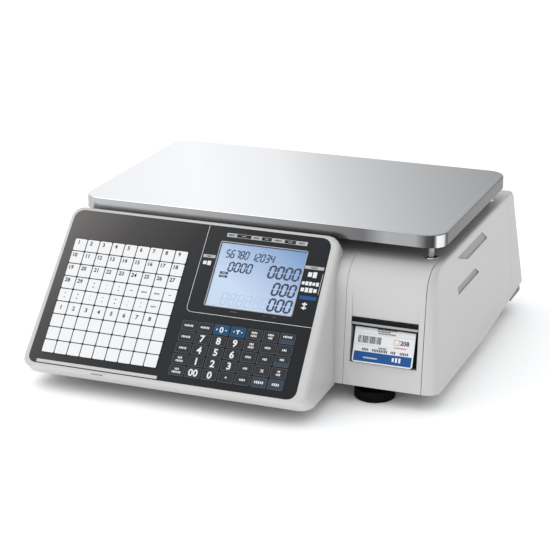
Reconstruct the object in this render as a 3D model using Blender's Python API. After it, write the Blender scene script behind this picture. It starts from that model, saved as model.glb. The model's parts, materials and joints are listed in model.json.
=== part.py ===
"""Retail label printing scale: weighing platter, keyboard console, label printer bay and their inner parts.

Metres, +Z up. X runs to the operator's right, Y to the rear. The origin is the middle of the footprint,
on the table. The measures below start from a datum plane just in front of it, and finish() moves each part
by the difference.
"""

import math

import bmesh
import bpy
from mathutils import Matrix, Vector

# The middle of the footprint, measured from the datum plane
FOOTPRINT_Y = 0.0038

# Clearances and sheet sizes
GAP = 0.0003
WALL = 0.0025
RUN_GAP = 0.0006

# Body shell, side view
BODY_BOTTOM = 0.018
BODY_TOP = 0.138
FRONT_LEAN = math.radians(5.7)
FRONT_ARC_Y = -0.0866
FRONT_ARC_RADIUS = 0.028
REAR_LEAN = math.radians(11.6)
REAR_ARC_Y = 0.1805
REAR_ARC_RADIUS = 0.016
REAR_FOOT_Z = 0.0286
BOTTOM_BEND_Y = 0.045
FRONT_CORNER = 0.013
REAR_CORNER = 0.010
TOP_CORNER = 0.0025
ARC_STEPS = 6
CORNER_STEPS = 4

# Body shell, front view: half widths at BODY_TOP, and how much wider the shell gets for each metre down
RIGHT_TOP = 0.191
RIGHT_FLARE = 0.0833
LEFT_TOP = 0.196
LEFT_FLARE = 0.0417

# Console: its panel is a plane that falls towards the operator
PANEL_TILT = math.radians(48.25)
PANEL_Y = -0.0960
PANEL_Z = 0.1544
PANEL_LENGTH = 0.1668
CONSOLE_RIM_TOP = 0.0045
CONSOLE_RIM_BOTTOM = 0.0045
CONSOLE_BOTTOM = 0.0158
CONSOLE_RIGHT = (0.0925, 0.0985)
CONSOLE_LEFT = (-0.1952, -0.2006)
CONSOLE_EDGE = 0.004
CONSOLE_BACK_Y = -0.0885
CONSOLE_DEPTH = 0.150
OVERLAY_LEFT = (-0.1907, -0.1940)
OVERLAY_RIGHT = (0.0842, 0.0872)
OVERLAY_THICKNESS = 0.0012
OVERLAY_RADII = (0.010, 0.010, 0.009, 0.008)
DISPLAY = (-0.0274, 0.0629, 0.0159, 0.0840)
PRESET = (-0.1821, -0.0579, 0.0314, 0.1556)
FUNCTION_KEYS = (-0.0448, 0.0739, 0.1018, 0.1604)
KEY_COLUMNS = 7
KEY_ROWS = 5
KEY_SIZE = (0.0156, 0.0104)
KEY_HEIGHT = 0.0008
KEY_DEPTH = 0.0030
MOVING_KEYS = {
    "key_zero": (2, 0),
    "key_tare": (3, 0),
    "key_print": (5, 4),
    "key_7": (1, 1),
    "key_8": (2, 1),
    "key_9": (3, 1),
    "key_4": (1, 2),
    "key_5": (2, 2),
    "key_6": (3, 2),
    "key_1": (1, 3),
    "key_2": (2, 3),
    "key_3": (3, 3),
    "key_double_zero": (1, 4),
    "key_0": (2, 4),
    "key_point": (3, 4),
}

# Platter and the parts that carry it
PLATTER_TOP = 0.166
PLATTER_WIDTH = 0.382
PLATTER_DEPTH = 0.2426
PLATTER_Y = 0.0362
PLATTER_SKIRT = 0.0133
PLATTER_CORNER = 0.019
PLATTER_EDGE = 0.0015
PLATTER_SHEET = 0.0012
POST_X = 0.1745
POST_Y = 0.102
POST_RADIUS = 0.003
POST_TOP = 0.1580
SPIDER_BOTTOM = 0.1220
SPIDER_TOP = 0.1290
CELL_BOTTOM = 0.0880
CELL_TOP = 0.1120
CELL_HALF_LENGTH = 0.065
CELL_HALF_WIDTH = 0.014

# Base tray
TRAY_BOTTOM = 0.0185
TRAY_FLOOR = 0.0210
TRAY_TOP = 0.0300
TRAY_RIM = 0.0020
TRAY_REAR = 0.2060

# Rear wall: left, right, low and high edges of each opening, and the sockets' left edges and widths
REAR_DISPLAY = (-0.065, 0.065, 0.082, 0.114)
PORTS = (-0.150, -0.070, 0.038, 0.058)
SOCKETS = ((-0.146, 0.014), (-0.128, 0.014), (-0.110, 0.030))
SOCKET_HEIGHTS = (0.0425, 0.0535)
SOCKET_DEPTH = 0.0120
INLET = (0.062, 0.092, 0.038, 0.060)
INLET_WALL = 0.004
INLET_PINS = ((0.069, 0.046), (0.076, 0.050), (0.083, 0.046))
SWITCH = (0.104, 0.118, 0.038, 0.060)
LEVEL_X = -0.120
LEVEL_Y = 0.130

# Printer bay
COVER_LEFT = 0.1057
COVER_RIGHT = 0.1845
DOOR_LEFT = 0.1851
DOOR_REAR = 0.1650
RIDGE_Y = -0.0826
HINGE_X = 0.190
HINGE_Z = 0.0195
ROD_RADIUS = 0.0012
DOOR_LUGS = (-0.0745, -0.0095, 0.0355)
TRAY_LUGS = (-0.0850, -0.0200, 0.0460)
LUG_WIDTH = 0.0080
UPPER_GRIP = (0.002, 0.077, -0.036, 0.058, 0.1170, 0.1290)
LOWER_GRIP = (-0.035, 0.041, -0.038, 0.026, 0.0915, 0.1000)
SCOOP_TOP = 0.1130
RECESS_FOOT = 0.0415
SLOT_LEFT = 0.1118
SLOT_RIGHT = 0.1792
SLOT_TOP = 0.0862
SLOT_BOTTOM = 0.0790
LABEL_LEFT = 0.1165
LABEL_RIGHT = 0.1745
LABEL_THICKNESS = 0.0004
PLATEN_Y = -0.098
PLATEN_Z = 0.0865
PLATEN_RADIUS = 0.006
ROLL_Y = 0.068
ROLL_Z = 0.0665
ROLL_RADIUS = 0.038
SPOOL_Y = -0.005
SPOOL_Z = 0.048
MOTOR_Y = -0.050
MOTOR_Z = 0.055
PLATEN_PULLEY = 0.0095
MOTOR_PULLEY = 0.0060
BELT_CLEARANCE = 0.0004
BELT_THICKNESS = 0.0012
HEAD_PIVOT_Y = -0.052
HEAD_PIVOT_Z = 0.0990
LEVER_Y = -0.080
LEVER_Z = 0.068
SHAFT_RADIUS = 0.0025
PIN_RADIUS = 0.0020
PIN_HOLE = 0.0023
LEFT_PLATE_TOP = 0.1120
FRAME_LEFT = 0.1085
FRAME_RIGHT = 0.1795
FRAME_SHEET = 0.0020
FRAME_FRONT = -0.1015
FRAME_REAR = 0.112

# Feet: front right, front left, rear right, rear left
FEET = {
    "foot_front_right": (0.131, -0.0998),
    "foot_front_left": (-0.160, -0.0998),
    "foot_rear_right": (0.165, 0.180),
    "foot_rear_left": (-0.165, 0.180),
}
FOOT_RADIUS = 0.0203
FOOT_HEIGHT = 0.0115
STEM_RADIUS = 0.004

MATERIALS = {
    "housing_plastic": ((0.70, 0.70, 0.68), 0.45, 0.0),
    "charcoal_plastic": ((0.035, 0.035, 0.038), 0.35, 0.0),
    "white_sheet": ((0.85, 0.85, 0.85), 0.5, 0.0),
    "key_grey": ((0.08, 0.08, 0.085), 0.5, 0.0),
    "key_blue": ((0.02, 0.12, 0.32), 0.5, 0.0),
    "clear_window": ((0.75, 0.82, 0.88), 0.1, 0.0),
    "lcd_blue": ((0.45, 0.62, 0.90), 0.4, 0.0),
    "brushed_steel": ((0.62, 0.62, 0.63), 0.3, 1.0),
    "bright_steel": ((0.66, 0.66, 0.67), 0.25, 1.0),
    "cast_aluminium": ((0.55, 0.56, 0.57), 0.45, 1.0),
    "board_green": ((0.03, 0.20, 0.08), 0.5, 0.0),
    "black_plastic": ((0.015, 0.015, 0.016), 0.5, 0.0),
    "black_rubber": ((0.012, 0.012, 0.012), 0.7, 0.0),
    "label_paper": ((0.88, 0.88, 0.86), 0.6, 0.0),
    "card_core": ((0.42, 0.30, 0.18), 0.8, 0.0),
    "ceramic_head": ((0.30, 0.26, 0.22), 0.4, 0.0),
}


def clear_scene():
    for obj in list(bpy.data.objects):
        bpy.data.objects.remove(obj, do_unlink=True)


def new_collection(name):
    collection = bpy.data.collections.new(name)
    bpy.context.scene.collection.children.link(collection)
    return collection


def make_material(name):
    colour, roughness, metallic = MATERIALS[name]
    material = bpy.data.materials.new(name)
    material.use_nodes = True
    shader = material.node_tree.nodes["Principled BSDF"]
    shader.inputs["Base Color"].default_value = (*colour, 1.0)
    shader.inputs["Roughness"].default_value = roughness
    shader.inputs["Metallic"].default_value = metallic
    return material


clear_scene()
PARTS = new_collection("label_printing_scale")
CUTTERS = new_collection("cutters")
LOOKS = {name: make_material(name) for name in MATERIALS}


# Making and combining solids


def new_object(name, mesh):
    """A helper object; finish() turns it into a part."""
    obj = bpy.data.objects.new(name, mesh)
    CUTTERS.objects.link(obj)
    obj.hide_render = True
    obj.display_type = "WIRE"
    return obj


def finish(obj, name, look, origin=(0, 0, 0)):
    """Names the part, gives it its material, and puts its origin on its joint axis."""
    obj.name = name
    obj.data.name = name
    CUTTERS.objects.unlink(obj)
    PARTS.objects.link(obj)
    obj.hide_render = False
    obj.display_type = "TEXTURED"
    place = Vector(origin)
    obj.data.transform(Matrix.Translation(-place))
    obj.location = place - Vector((0, FOOTPRINT_Y, 0))
    obj.data.materials.clear()
    obj.data.materials.append(LOOKS[look])
    obj.data.shade_smooth()
    obj.data.set_sharp_from_angle(angle=math.radians(30))
    return obj


def box(low, high):
    """A block between two opposite corners."""
    shape = bmesh.new()
    bmesh.ops.create_cube(shape, size=1.0)
    for vertex in shape.verts:
        for axis in range(3):
            vertex.co[axis] = low[axis] + (vertex.co[axis] + 0.5) * (high[axis] - low[axis])
    return object_from(shape, "box")


def object_from(shape, name):
    mesh = bpy.data.meshes.new(name)
    shape.normal_update()
    bmesh.ops.recalc_face_normals(shape, faces=shape.faces[:])
    shape.to_mesh(mesh)
    shape.free()
    return new_object(name, mesh)


def rod(start, end, radius, segments=24):
    """A round bar along X, Y or Z."""
    axis = next(i for i in range(3) if abs(end[i] - start[i]) > 1e-9)
    length = end[axis] - start[axis]
    shape = bmesh.new()
    bmesh.ops.create_cone(
        shape,
        cap_ends=True,
        segments=segments,
        radius1=radius,
        radius2=radius,
        depth=length,
    )
    for vertex in shape.verts:
        along = vertex.co.z + length / 2
        first, second = vertex.co.x, vertex.co.y
        point = [start[0], start[1], start[2]]
        point[axis] += along
        point[(axis + 1) % 3] += first
        point[(axis + 2) % 3] += second
        vertex.co = point
    return object_from(shape, "rod")


def loft(rings, name="loft"):
    """A closed solid through rings that all have the same number of points."""
    shape = bmesh.new()
    rows = [[shape.verts.new(point) for point in ring] for ring in rings]
    count = len(rings[0])
    for near, far in zip(rows, rows[1:]):
        for i in range(count):
            j = (i + 1) % count
            shape.faces.new((near[i], near[j], far[j], far[i]))
    shape.faces.new(rows[0])
    shape.faces.new(list(reversed(rows[-1])))
    bmesh.ops.remove_doubles(shape, verts=shape.verts[:], dist=1e-6)
    bmesh.ops.dissolve_degenerate(shape, edges=shape.edges[:], dist=1e-6)
    return object_from(shape, name)


def side_slab(outline, left, right):
    """A solid with a (y, z) outline, between two values of x."""
    rings = [[(x, y, z) for y, z in outline] for x in (left, right)]
    return loft(rings, "slab")


def freeze(obj):
    """Replaces the object's modifiers by the mesh that they make."""
    graph = bpy.context.evaluated_depsgraph_get()
    mesh = bpy.data.meshes.new_from_object(obj.evaluated_get(graph))
    obj.modifiers.clear()
    obj.data = mesh
    return obj


def combine(obj, others, operation):
    for other in others:
        modifier = obj.modifiers.new(operation.title(), "BOOLEAN")
        modifier.operation = operation
        modifier.object = other
    freeze(obj)
    for other in others:
        bpy.data.objects.remove(other, do_unlink=True)
    return obj


def cut(obj, *others):
    return combine(obj, others, "DIFFERENCE")


def join(obj, *others):
    return combine(obj, others, "UNION")


def keep(obj, *others):
    return combine(obj, others, "INTERSECT")


def duplicate(obj):
    return new_object(obj.name, obj.data.copy())


def shift_line(point, other, inset):
    """The line through two points, moved to its left by inset, as (point, direction)."""
    dx, dy = other[0] - point[0], other[1] - point[1]
    length = math.hypot(dx, dy)
    dx, dy = dx / length, dy / length
    return (point[0] - dy * inset, point[1] + dx * inset), (dx, dy)


def crossing(first, second):
    (px, py), (ux, uy) = first
    (qx, qy), (vx, vy) = second
    scale = ((qx - px) * vy - (qy - py) * vx) / (ux * vy - uy * vx)
    return px + ux * scale, py + uy * scale


def rounded_outline(corners, radii, inset=0.0, steps=CORNER_STEPS):
    """A convex outline, counter-clockwise, with round corners, moved inwards by inset."""
    count = len(corners)
    lines = [shift_line(corners[i], corners[(i + 1) % count], inset) for i in range(count)]
    points = []
    for i in range(count):
        before, after = lines[i - 1], lines[i]
        corner = crossing(before, after)
        radius = max(radii[i] - inset, 1e-5)
        turn = math.atan2(after[1][1], after[1][0]) - math.atan2(before[1][1], before[1][0])
        turn %= 2 * math.pi
        reach = radius * math.tan(turn / 2)
        start = (corner[0] - before[1][0] * reach, corner[1] - before[1][1] * reach)
        centre = (start[0] - before[1][1] * radius, start[1] + before[1][0] * radius)
        begin = math.atan2(start[1] - centre[1], start[0] - centre[0])
        for k in range(steps + 1):
            angle = begin + turn * k / steps
            points.append((centre[0] + radius * math.cos(angle), centre[1] + radius * math.sin(angle)))
    return points


def rectangle(left, right, low, high):
    return [(left, low), (right, low), (right, high), (left, high)]


def prism(corners, radii, bottom, top, place, edge=0.0, steps=CORNER_STEPS):
    """A solid with a rounded outline, upright along place's third direction, its top edge rounded by edge."""
    rings = [[place(a, b, bottom) for a, b in rounded_outline(corners, radii, 0.0, steps)]]
    if edge:
        for k in range(CORNER_STEPS + 1):
            angle = math.pi / 2 * (1 - k / CORNER_STEPS)
            ring = rounded_outline(corners, radii, edge * (1 - math.sin(angle)), steps)
            rings.append([place(a, b, top - edge * (1 - math.cos(angle))) for a, b in ring])
    else:
        rings.append([place(a, b, top) for a, b in rounded_outline(corners, radii, 0.0, steps)])
    return loft(rings, "prism")


def flat(x, y, z):
    return x, y, z


# Frames of reference for the sloping panel and the rear wall


def on_panel(x, down, height):
    """A point on the console: x, the distance down its slope from the top edge, and the height above it."""
    y = PANEL_Y - down * math.cos(PANEL_TILT) - height * math.sin(PANEL_TILT)
    z = PANEL_Z - down * math.sin(PANEL_TILT) + height * math.cos(PANEL_TILT)
    return x, y, z


def on_rear(x, z, out):
    """A point on the rear wall: x, the height above the table, and the distance outwards."""
    top_y = REAR_ARC_Y + REAR_ARC_RADIUS * math.cos(REAR_LEAN)
    top_z = BODY_TOP - REAR_ARC_RADIUS + REAR_ARC_RADIUS * math.sin(REAR_LEAN)
    y = top_y + (top_z - z) * math.tan(REAR_LEAN)
    return x, y + out * math.cos(REAR_LEAN), z + out * math.sin(REAR_LEAN)


def front_y(z, inset=0.0):
    """The front wall's y at a height."""
    top_y = FRONT_ARC_Y - FRONT_ARC_RADIUS * math.cos(FRONT_LEAN)
    top_z = BODY_TOP - FRONT_ARC_RADIUS + FRONT_ARC_RADIUS * math.sin(FRONT_LEAN)
    return top_y - (top_z - z) * math.tan(FRONT_LEAN) + inset / math.cos(FRONT_LEAN)


# Body shell


def body_outline(inset, bottom):
    """The body's side view as rows of y, z, corner radius and the inward direction."""
    rows = [(front_y(bottom, inset), bottom, FRONT_CORNER, 1.0, 0.0)]
    for k in range(ARC_STEPS + 1):
        share = k / ARC_STEPS
        angle = math.pi - FRONT_LEAN - share * (math.pi / 2 - FRONT_LEAN)
        reach = FRONT_ARC_RADIUS - inset
        y = FRONT_ARC_Y + reach * math.cos(angle)
        z = BODY_TOP - FRONT_ARC_RADIUS + reach * math.sin(angle)
        corner = FRONT_CORNER + share * (TOP_CORNER - FRONT_CORNER)
        rows.append((y, z, corner, -math.cos(angle), -math.sin(angle)))
    for k in range(ARC_STEPS + 1):
        share = k / ARC_STEPS
        angle = math.pi / 2 - share * (math.pi / 2 - REAR_LEAN)
        reach = REAR_ARC_RADIUS - inset
        y = REAR_ARC_Y + reach * math.cos(angle)
        z = BODY_TOP - REAR_ARC_RADIUS + reach * math.sin(angle)
        corner = TOP_CORNER + share * (REAR_CORNER - TOP_CORNER)
        rows.append((y, z, corner, -math.cos(angle), -math.sin(angle)))
    rear_z = REAR_FOOT_Z if inset == 0.0 else bottom
    rows.append((on_rear(0, rear_z, -inset)[1], rear_z, REAR_CORNER, -1.0, 0.0))
    if inset == 0.0:
        rows.append((BOTTOM_BEND_Y, bottom, 0.0, 0.0, 0.0))
    return rows


def side_x(side, z, inset):
    """The side wall's x at a height: side is 1 for the right wall and -1 for the left one."""
    top, flare = (RIGHT_TOP, RIGHT_FLARE) if side > 0 else (LEFT_TOP, LEFT_FLARE)
    return side * (top + (BODY_TOP - z) * flare - inset)


def body_block(inset=0.0):
    """The body's outer form without the console, or what is left inside a wall of thickness inset."""
    bottom = BODY_BOTTOM if inset == 0.0 else 0.0
    rings = []
    for side in (1, -1):
        angles = [math.pi / 2 * k / CORNER_STEPS for k in range(CORNER_STEPS + 1)]
        for angle in angles if side > 0 else reversed(angles):
            ring = []
            for y, z, corner, inward_y, inward_z in body_outline(inset, bottom):
                corner = max(corner - inset, 0.0)
                pull = corner * (1 - math.sin(angle))
                point_y, point_z = y + inward_y * pull, z + inward_z * pull
                x = side_x(side, point_z, inset) - side * corner * (1 - math.cos(angle))
                ring.append((x, point_y, point_z))
            rings.append(ring)
    return loft(rings, "body")


def console_block(inset=0.0):
    """The console's outer form, or what is left inside a wall of thickness inset."""
    low, high = -CONSOLE_RIM_TOP, PANEL_LENGTH + CONSOLE_RIM_BOTTOM
    corners = [
        (CONSOLE_LEFT[0], low),
        (CONSOLE_RIGHT[0], low),
        (CONSOLE_RIGHT[1], high),
        (CONSOLE_LEFT[1], high),
    ]
    radii = (0.012, 0.014, 0.010, 0.010)
    rings = []
    edge = max(CONSOLE_EDGE - inset, 0.0005)
    for k in range(CORNER_STEPS + 1):
        angle = math.pi / 2 * k / CORNER_STEPS
        ring = rounded_outline(corners, radii, inset + edge * (1 - math.sin(angle)))
        height = -inset - edge * (1 - math.cos(angle))
        rings.append([on_panel(x, down, height) for x, down in ring])
    ring = rounded_outline(corners, radii, inset)
    rings.append([on_panel(x, down, -CONSOLE_DEPTH) for x, down in ring])
    block = loft(rings, "console")
    floor = CONSOLE_BOTTOM if inset == 0.0 else 0.002
    back = CONSOLE_BACK_Y - inset
    return cut(
        block,
        box((-0.3, -0.4, -0.3), (0.3, 0.4, floor)),
        box((-0.3, back, BODY_TOP - 0.006 - inset), (0.3, 0.4, 0.4)),
        box((-0.3, -0.060, -0.3), (0.3, 0.4, 0.4)),
    )


def whole_form(inset=0.0):
    return join(body_block(inset), console_block(inset))


def shell():
    return cut(whole_form(), whole_form(WALL))


def cover_zone(grow=0.0):
    return box((COVER_LEFT - grow, -0.3, -0.1), (COVER_RIGHT + grow, RIDGE_Y - GAP + grow, 0.3))


def door_zone(grow=0.0):
    return box((DOOR_LEFT - grow, -0.3, -0.1), (0.3, DOOR_REAR + grow, 0.3))


def panel_opening(left, right, low, high, radius=0.002, bottom=-0.02):
    corners = rectangle(left, right, low, high)
    return prism(corners, (radius,) * 4, bottom, 0.01, on_panel, steps=2)


def overlay_corners(grow=0.0):
    return [
        (OVERLAY_LEFT[0] - grow, -grow),
        (OVERLAY_RIGHT[0] + grow, -grow),
        (OVERLAY_RIGHT[1] + grow, PANEL_LENGTH + grow),
        (OVERLAY_LEFT[1] - grow, PANEL_LENGTH + grow),
    ]


def rear_opening(left, right, low, high, depth=0.02):
    return prism(rectangle(left, right, low, high), (0.001,) * 4, -depth, 0.01, on_rear, steps=1)


def grown(area, amount):
    return area[0] - amount, area[1] + amount, area[2] - amount, area[3] + amount


def post_positions():
    return [(sx * POST_X, PLATTER_Y + sy * POST_Y) for sx in (-1, 1) for sy in (-1, 1)]


def upper_housing(form):
    body = duplicate(form)
    cut(body, box((COVER_LEFT - GAP, -0.3, -0.1), (0.3, RIDGE_Y, 0.3)), door_zone(GAP))
    cut(body, *[rod((x, y, 0.12), (x, y, 0.15), 0.0065, 16) for x, y in post_positions()])
    recess = prism(
        overlay_corners(GAP), OVERLAY_RADII, -OVERLAY_THICKNESS - GAP, 0.01, on_panel
    )
    display = panel_opening(-0.0330, 0.0690, 0.0110, 0.0890)
    keypad = panel_opening(-0.0470, 0.0765, 0.0990, 0.1630)
    cut(body, recess, display, keypad)
    rear = [rear_opening(*grown(area, GAP)) for area in (REAR_DISPLAY, PORTS, INLET, SWITCH)]
    cut(body, *rear)
    cut(body, rod((LEVEL_X, LEVEL_Y, 0.130), (LEVEL_X, LEVEL_Y, 0.150), 0.0065, 16))
    return finish(body, "upper_housing", "housing_plastic")


# Printer front cover and side door


def printer_front_cover(form):
    cover = duplicate(form)
    keep(cover, cover_zone())
    back = SLOT_TOP + 0.0028
    foot = 0.0390
    pocket = [
        (front_y(back, WALL / 2), back),
        (-0.1040, back),
        (-0.1040, SLOT_BOTTOM),
        (-0.1150, foot),
        (front_y(foot, WALL / 2), foot),
    ]
    join(cover, side_slab(pocket, SLOT_LEFT - 0.0022, SLOT_RIGHT + 0.0022))
    recess = [
        (-0.135, SCOOP_TOP),
        (front_y(SCOOP_TOP, 0.0001), SCOOP_TOP),
        (front_y(SLOT_TOP, 0.0016), SLOT_TOP),
        (-0.1062, SLOT_TOP),
        (-0.1062, SLOT_BOTTOM),
        (-0.1176, RECESS_FOOT),
        (-0.135, RECESS_FOOT),
    ]
    cut(cover, side_slab(recess, SLOT_LEFT, SLOT_RIGHT))
    slot = box(
        (SLOT_LEFT + 0.0010, -0.1100, SLOT_BOTTOM + 0.0002),
        (SLOT_RIGHT - 0.0010, -0.1000, SLOT_TOP - 0.0012),
    )
    cut(cover, slot)
    return finish(cover, "printer_front_cover", "housing_plastic")


def on_door(y, z, out):
    """A point on the right wall: y, z and the distance outwards."""
    return side_x(1, z, 0.0) + out, y, z


def grip(left_low, right_low, left_high, right_high, low, high):
    corners = [(left_low, low), (right_low, low), (right_high, high), (left_high, high)]
    return prism(corners, (0.001,) * 4, -0.0013, 0.01, on_door, steps=2)


def lug(y, left, right, low, high):
    return box((left, y, low), (right, y + LUG_WIDTH, high))


def hinge_hole():
    radius = ROD_RADIUS + 0.0002
    return rod((HINGE_X, -0.10, HINGE_Z), (HINGE_X, 0.07, HINGE_Z), radius, 16)


def printer_door(form):
    door = duplicate(form)
    keep(door, door_zone())
    cut(door, grip(*UPPER_GRIP), grip(*LOWER_GRIP))
    inner = side_x(1, HINGE_Z, WALL / 2)
    join(door, *[lug(y, HINGE_X - 0.0030, inner, 0.0182, HINGE_Z + 0.0030) for y in DOOR_LUGS])
    cut(door, hinge_hole())
    return finish(door, "printer_door", "housing_plastic", (HINGE_X, 0, HINGE_Z))


def door_hinge_rod():
    bar = rod((HINGE_X, -0.0880, HINGE_Z), (HINGE_X, 0.0570, HINGE_Z), ROD_RADIUS, 16)
    return finish(bar, "door_hinge_rod", "bright_steel")


# Base tray, feet and boards


def base_housing():
    tray = whole_form(WALL + GAP)
    keep(tray, box((-0.3, -0.3, TRAY_BOTTOM), (0.3, TRAY_REAR, TRAY_TOP)))
    pocket = whole_form(WALL + GAP + TRAY_RIM)
    keep(pocket, box((-0.3, -0.3, TRAY_FLOOR), (0.3, TRAY_REAR - TRAY_RIM, 0.1)))
    cut(tray, pocket)
    cut(tray, box((DOOR_LEFT - 0.0010, -0.3, 0.0), (0.3, DOOR_REAR + 0.001, 0.1)))
    low, high = TRAY_BOTTOM - 0.0005, TRAY_FLOOR + 0.0015
    join(tray, *[lug(y, FRAME_RIGHT + 0.003, HINGE_X + 0.003, low, high) for y in TRAY_LUGS])
    cut(tray, hinge_hole())
    cut(tray, *[rod((x, y, 0.01), (x, y, 0.03), STEM_RADIUS + GAP, 20) for x, y in FEET.values()])
    return finish(tray, "base_housing", "black_plastic")


def foot(name, x, y):
    """A levelling foot: a rubber-soled disc with a collar on a threaded stem."""
    disc = rod((x, y, 0.0), (x, y, FOOT_HEIGHT), FOOT_RADIUS, 32)
    collar = rod((x, y, FOOT_HEIGHT - 0.001), (x, y, TRAY_BOTTOM - RUN_GAP), 0.0085, 20)
    stem = rod((x, y, FOOT_HEIGHT), (x, y, TRAY_FLOOR - GAP), STEM_RADIUS, 20)
    join(disc, collar, stem)
    return finish(disc, name, "black_rubber", (x, y, 0))


def main_board():
    board = box((-0.170, -0.180, 0.0300), (0.050, -0.100, 0.0316))
    chips = [
        box((-0.150, -0.165, 0.0310), (-0.120, -0.135, 0.0345)),
        box((-0.090, -0.150, 0.0310), (-0.070, -0.130, 0.0350)),
        box((-0.040, -0.172, 0.0310), (0.030, -0.162, 0.0400)),
        box((-0.050, -0.125, 0.0310), (-0.010, -0.108, 0.0430)),
    ]
    posts = [
        rod((x, y, TRAY_FLOOR + GAP), (x, y, 0.0305), 0.003, 12)
        for x in (-0.164, 0.044)
        for y in (-0.174, -0.106)
    ]
    return finish(join(board, *chips, *posts), "main_board", "board_green")


def power_supply():
    case = box((-0.175, 0.060, TRAY_FLOOR + GAP), (-0.085, 0.165, 0.0600))
    vents = [
        box((-0.165 + 0.010 * k, 0.080, 0.0585), (-0.161 + 0.010 * k, 0.145, 0.0700))
        for k in range(8)
    ]
    return finish(cut(case, *vents), "power_supply", "cast_aluminium")


# Weighing parts


def load_cell():
    low_y, high_y = PLATTER_Y - CELL_HALF_WIDTH, PLATTER_Y + CELL_HALF_WIDTH
    bar = box((-CELL_HALF_LENGTH, low_y, CELL_BOTTOM), (CELL_HALF_LENGTH, high_y, CELL_TOP))
    middle = (CELL_BOTTOM + CELL_TOP) / 2
    holes = [
        rod((x, low_y - 0.01, middle), (x, high_y + 0.01, middle), 0.0095, 20)
        for x in (-0.013, 0.013)
    ]
    slot = box((-0.013, low_y - 0.01, middle - 0.004), (0.013, high_y + 0.01, middle + 0.004))
    return finish(cut(bar, *holes, slot), "load_cell", "cast_aluminium")


def load_cell_base_block():
    low_y, high_y = PLATTER_Y - 0.014, PLATTER_Y + 0.014
    block = box((-0.064, low_y, TRAY_FLOOR + GAP), (-0.034, high_y, CELL_BOTTOM - GAP))
    flange = box((-0.080, low_y - 0.02, TRAY_FLOOR + GAP), (-0.018, high_y + 0.02, 0.0270))
    return finish(join(block, flange), "load_cell_base_block", "cast_aluminium")


def load_cell_top_block():
    block = prism(
        rectangle(0.034, 0.064, PLATTER_Y - 0.014, PLATTER_Y + 0.014),
        (0.003,) * 4,
        CELL_TOP + RUN_GAP,
        SPIDER_BOTTOM - GAP,
        flat,
        edge=0.0008,
    )
    return finish(block, "load_cell_top_block", "cast_aluminium")


def spider_arm(x, y):
    """One arm of the spider, from its middle to a post."""
    length = math.hypot(x, y)
    ux, uy = x / length, y / length
    half = 0.009
    corners = [(0.0, -half), (length, -half), (length, half), (0.0, half)]

    def place(along, across, z):
        return ux * along - uy * across, PLATTER_Y + uy * along + ux * across, z

    return prism(corners, (0.001, 0.006, 0.006, 0.001), SPIDER_BOTTOM, SPIDER_TOP, place)


def platter_spider():
    hub = prism(
        rectangle(-0.072, 0.072, PLATTER_Y - 0.030, PLATTER_Y + 0.030),
        (0.008,) * 4,
        SPIDER_BOTTOM - 0.0001,
        SPIDER_TOP + 0.0001,
        flat,
    )
    arms = [spider_arm(x, y - PLATTER_Y) for x, y in post_positions()]
    posts = [
        rod((x, y, SPIDER_TOP - 0.002), (x, y, POST_TOP), POST_RADIUS, 16)
        for x, y in post_positions()
    ]
    return finish(join(hub, *arms, *posts), "platter_spider", "cast_aluminium")


def platter_pad(name, x, y):
    """A rubber cap on a post: the platter rests on it."""
    under = PLATTER_TOP - PLATTER_SHEET
    cap = rod((x, y, POST_TOP - 0.005), (x, y, under - GAP), 0.0055, 20)
    bore = rod((x, y, POST_TOP - 0.010), (x, y, POST_TOP + GAP), POST_RADIUS + GAP, 16)
    return finish(cut(cap, bore), name, "black_rubber")


def platter():
    """A steel tray, open below."""
    half_x, half_y = PLATTER_WIDTH / 2, PLATTER_DEPTH / 2
    bottom = PLATTER_TOP - PLATTER_SKIRT
    outer = rectangle(-half_x, half_x, PLATTER_Y - half_y, PLATTER_Y + half_y)
    tray = prism(outer, (PLATTER_CORNER,) * 4, bottom, PLATTER_TOP, flat, PLATTER_EDGE, 8)
    sheet = PLATTER_SHEET
    inner = rectangle(
        -half_x + sheet, half_x - sheet, PLATTER_Y - half_y + sheet, PLATTER_Y + half_y - sheet
    )
    radii = (PLATTER_CORNER - sheet,) * 4
    hollow = prism(inner, radii, bottom - 0.01, PLATTER_TOP - sheet, flat, 0.0005, 8)
    return finish(cut(tray, hollow), "platter", "brushed_steel")


# Console parts


def key_centre(column, row):
    left, right, low, high = FUNCTION_KEYS
    x = left + (column + 0.5) * (right - left) / KEY_COLUMNS
    down = low + (row + 0.5) * (high - low) / KEY_ROWS
    return x, down


def key_area(column, row, grow=0.0):
    x, down = key_centre(column, row)
    half_x, half_y = KEY_SIZE[0] / 2 + grow, KEY_SIZE[1] / 2 + grow
    return rectangle(x - half_x, x + half_x, down - half_y, down + half_y)


def console_overlay():
    plate = prism(overlay_corners(), OVERLAY_RADII, -OVERLAY_THICKNESS, 0.0, on_panel)
    window = panel_opening(*DISPLAY, radius=0.001, bottom=-0.01)
    holes = [
        prism(key_area(*place, GAP), (0.001,) * 4, -0.01, 0.01, on_panel, steps=1)
        for place in MOVING_KEYS.values()
    ]
    return finish(cut(plate, window, *holes), "console_overlay", "charcoal_plastic")


def function_key(name, column, row):
    cap = prism(
        key_area(column, row),
        (0.0008,) * 4,
        -KEY_DEPTH,
        KEY_HEIGHT,
        on_panel,
        steps=1,
    )
    x, down = key_centre(column, row)
    look = "key_blue" if name in ("key_zero", "key_tare") else "key_grey"
    return finish(cap, name, look, on_panel(x, down, 0.0))


def panel_box(left, right, low, high, bottom, top):
    return prism(rectangle(left, right, low, high), (0.0005,) * 4, bottom, top, on_panel, steps=1)


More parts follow.
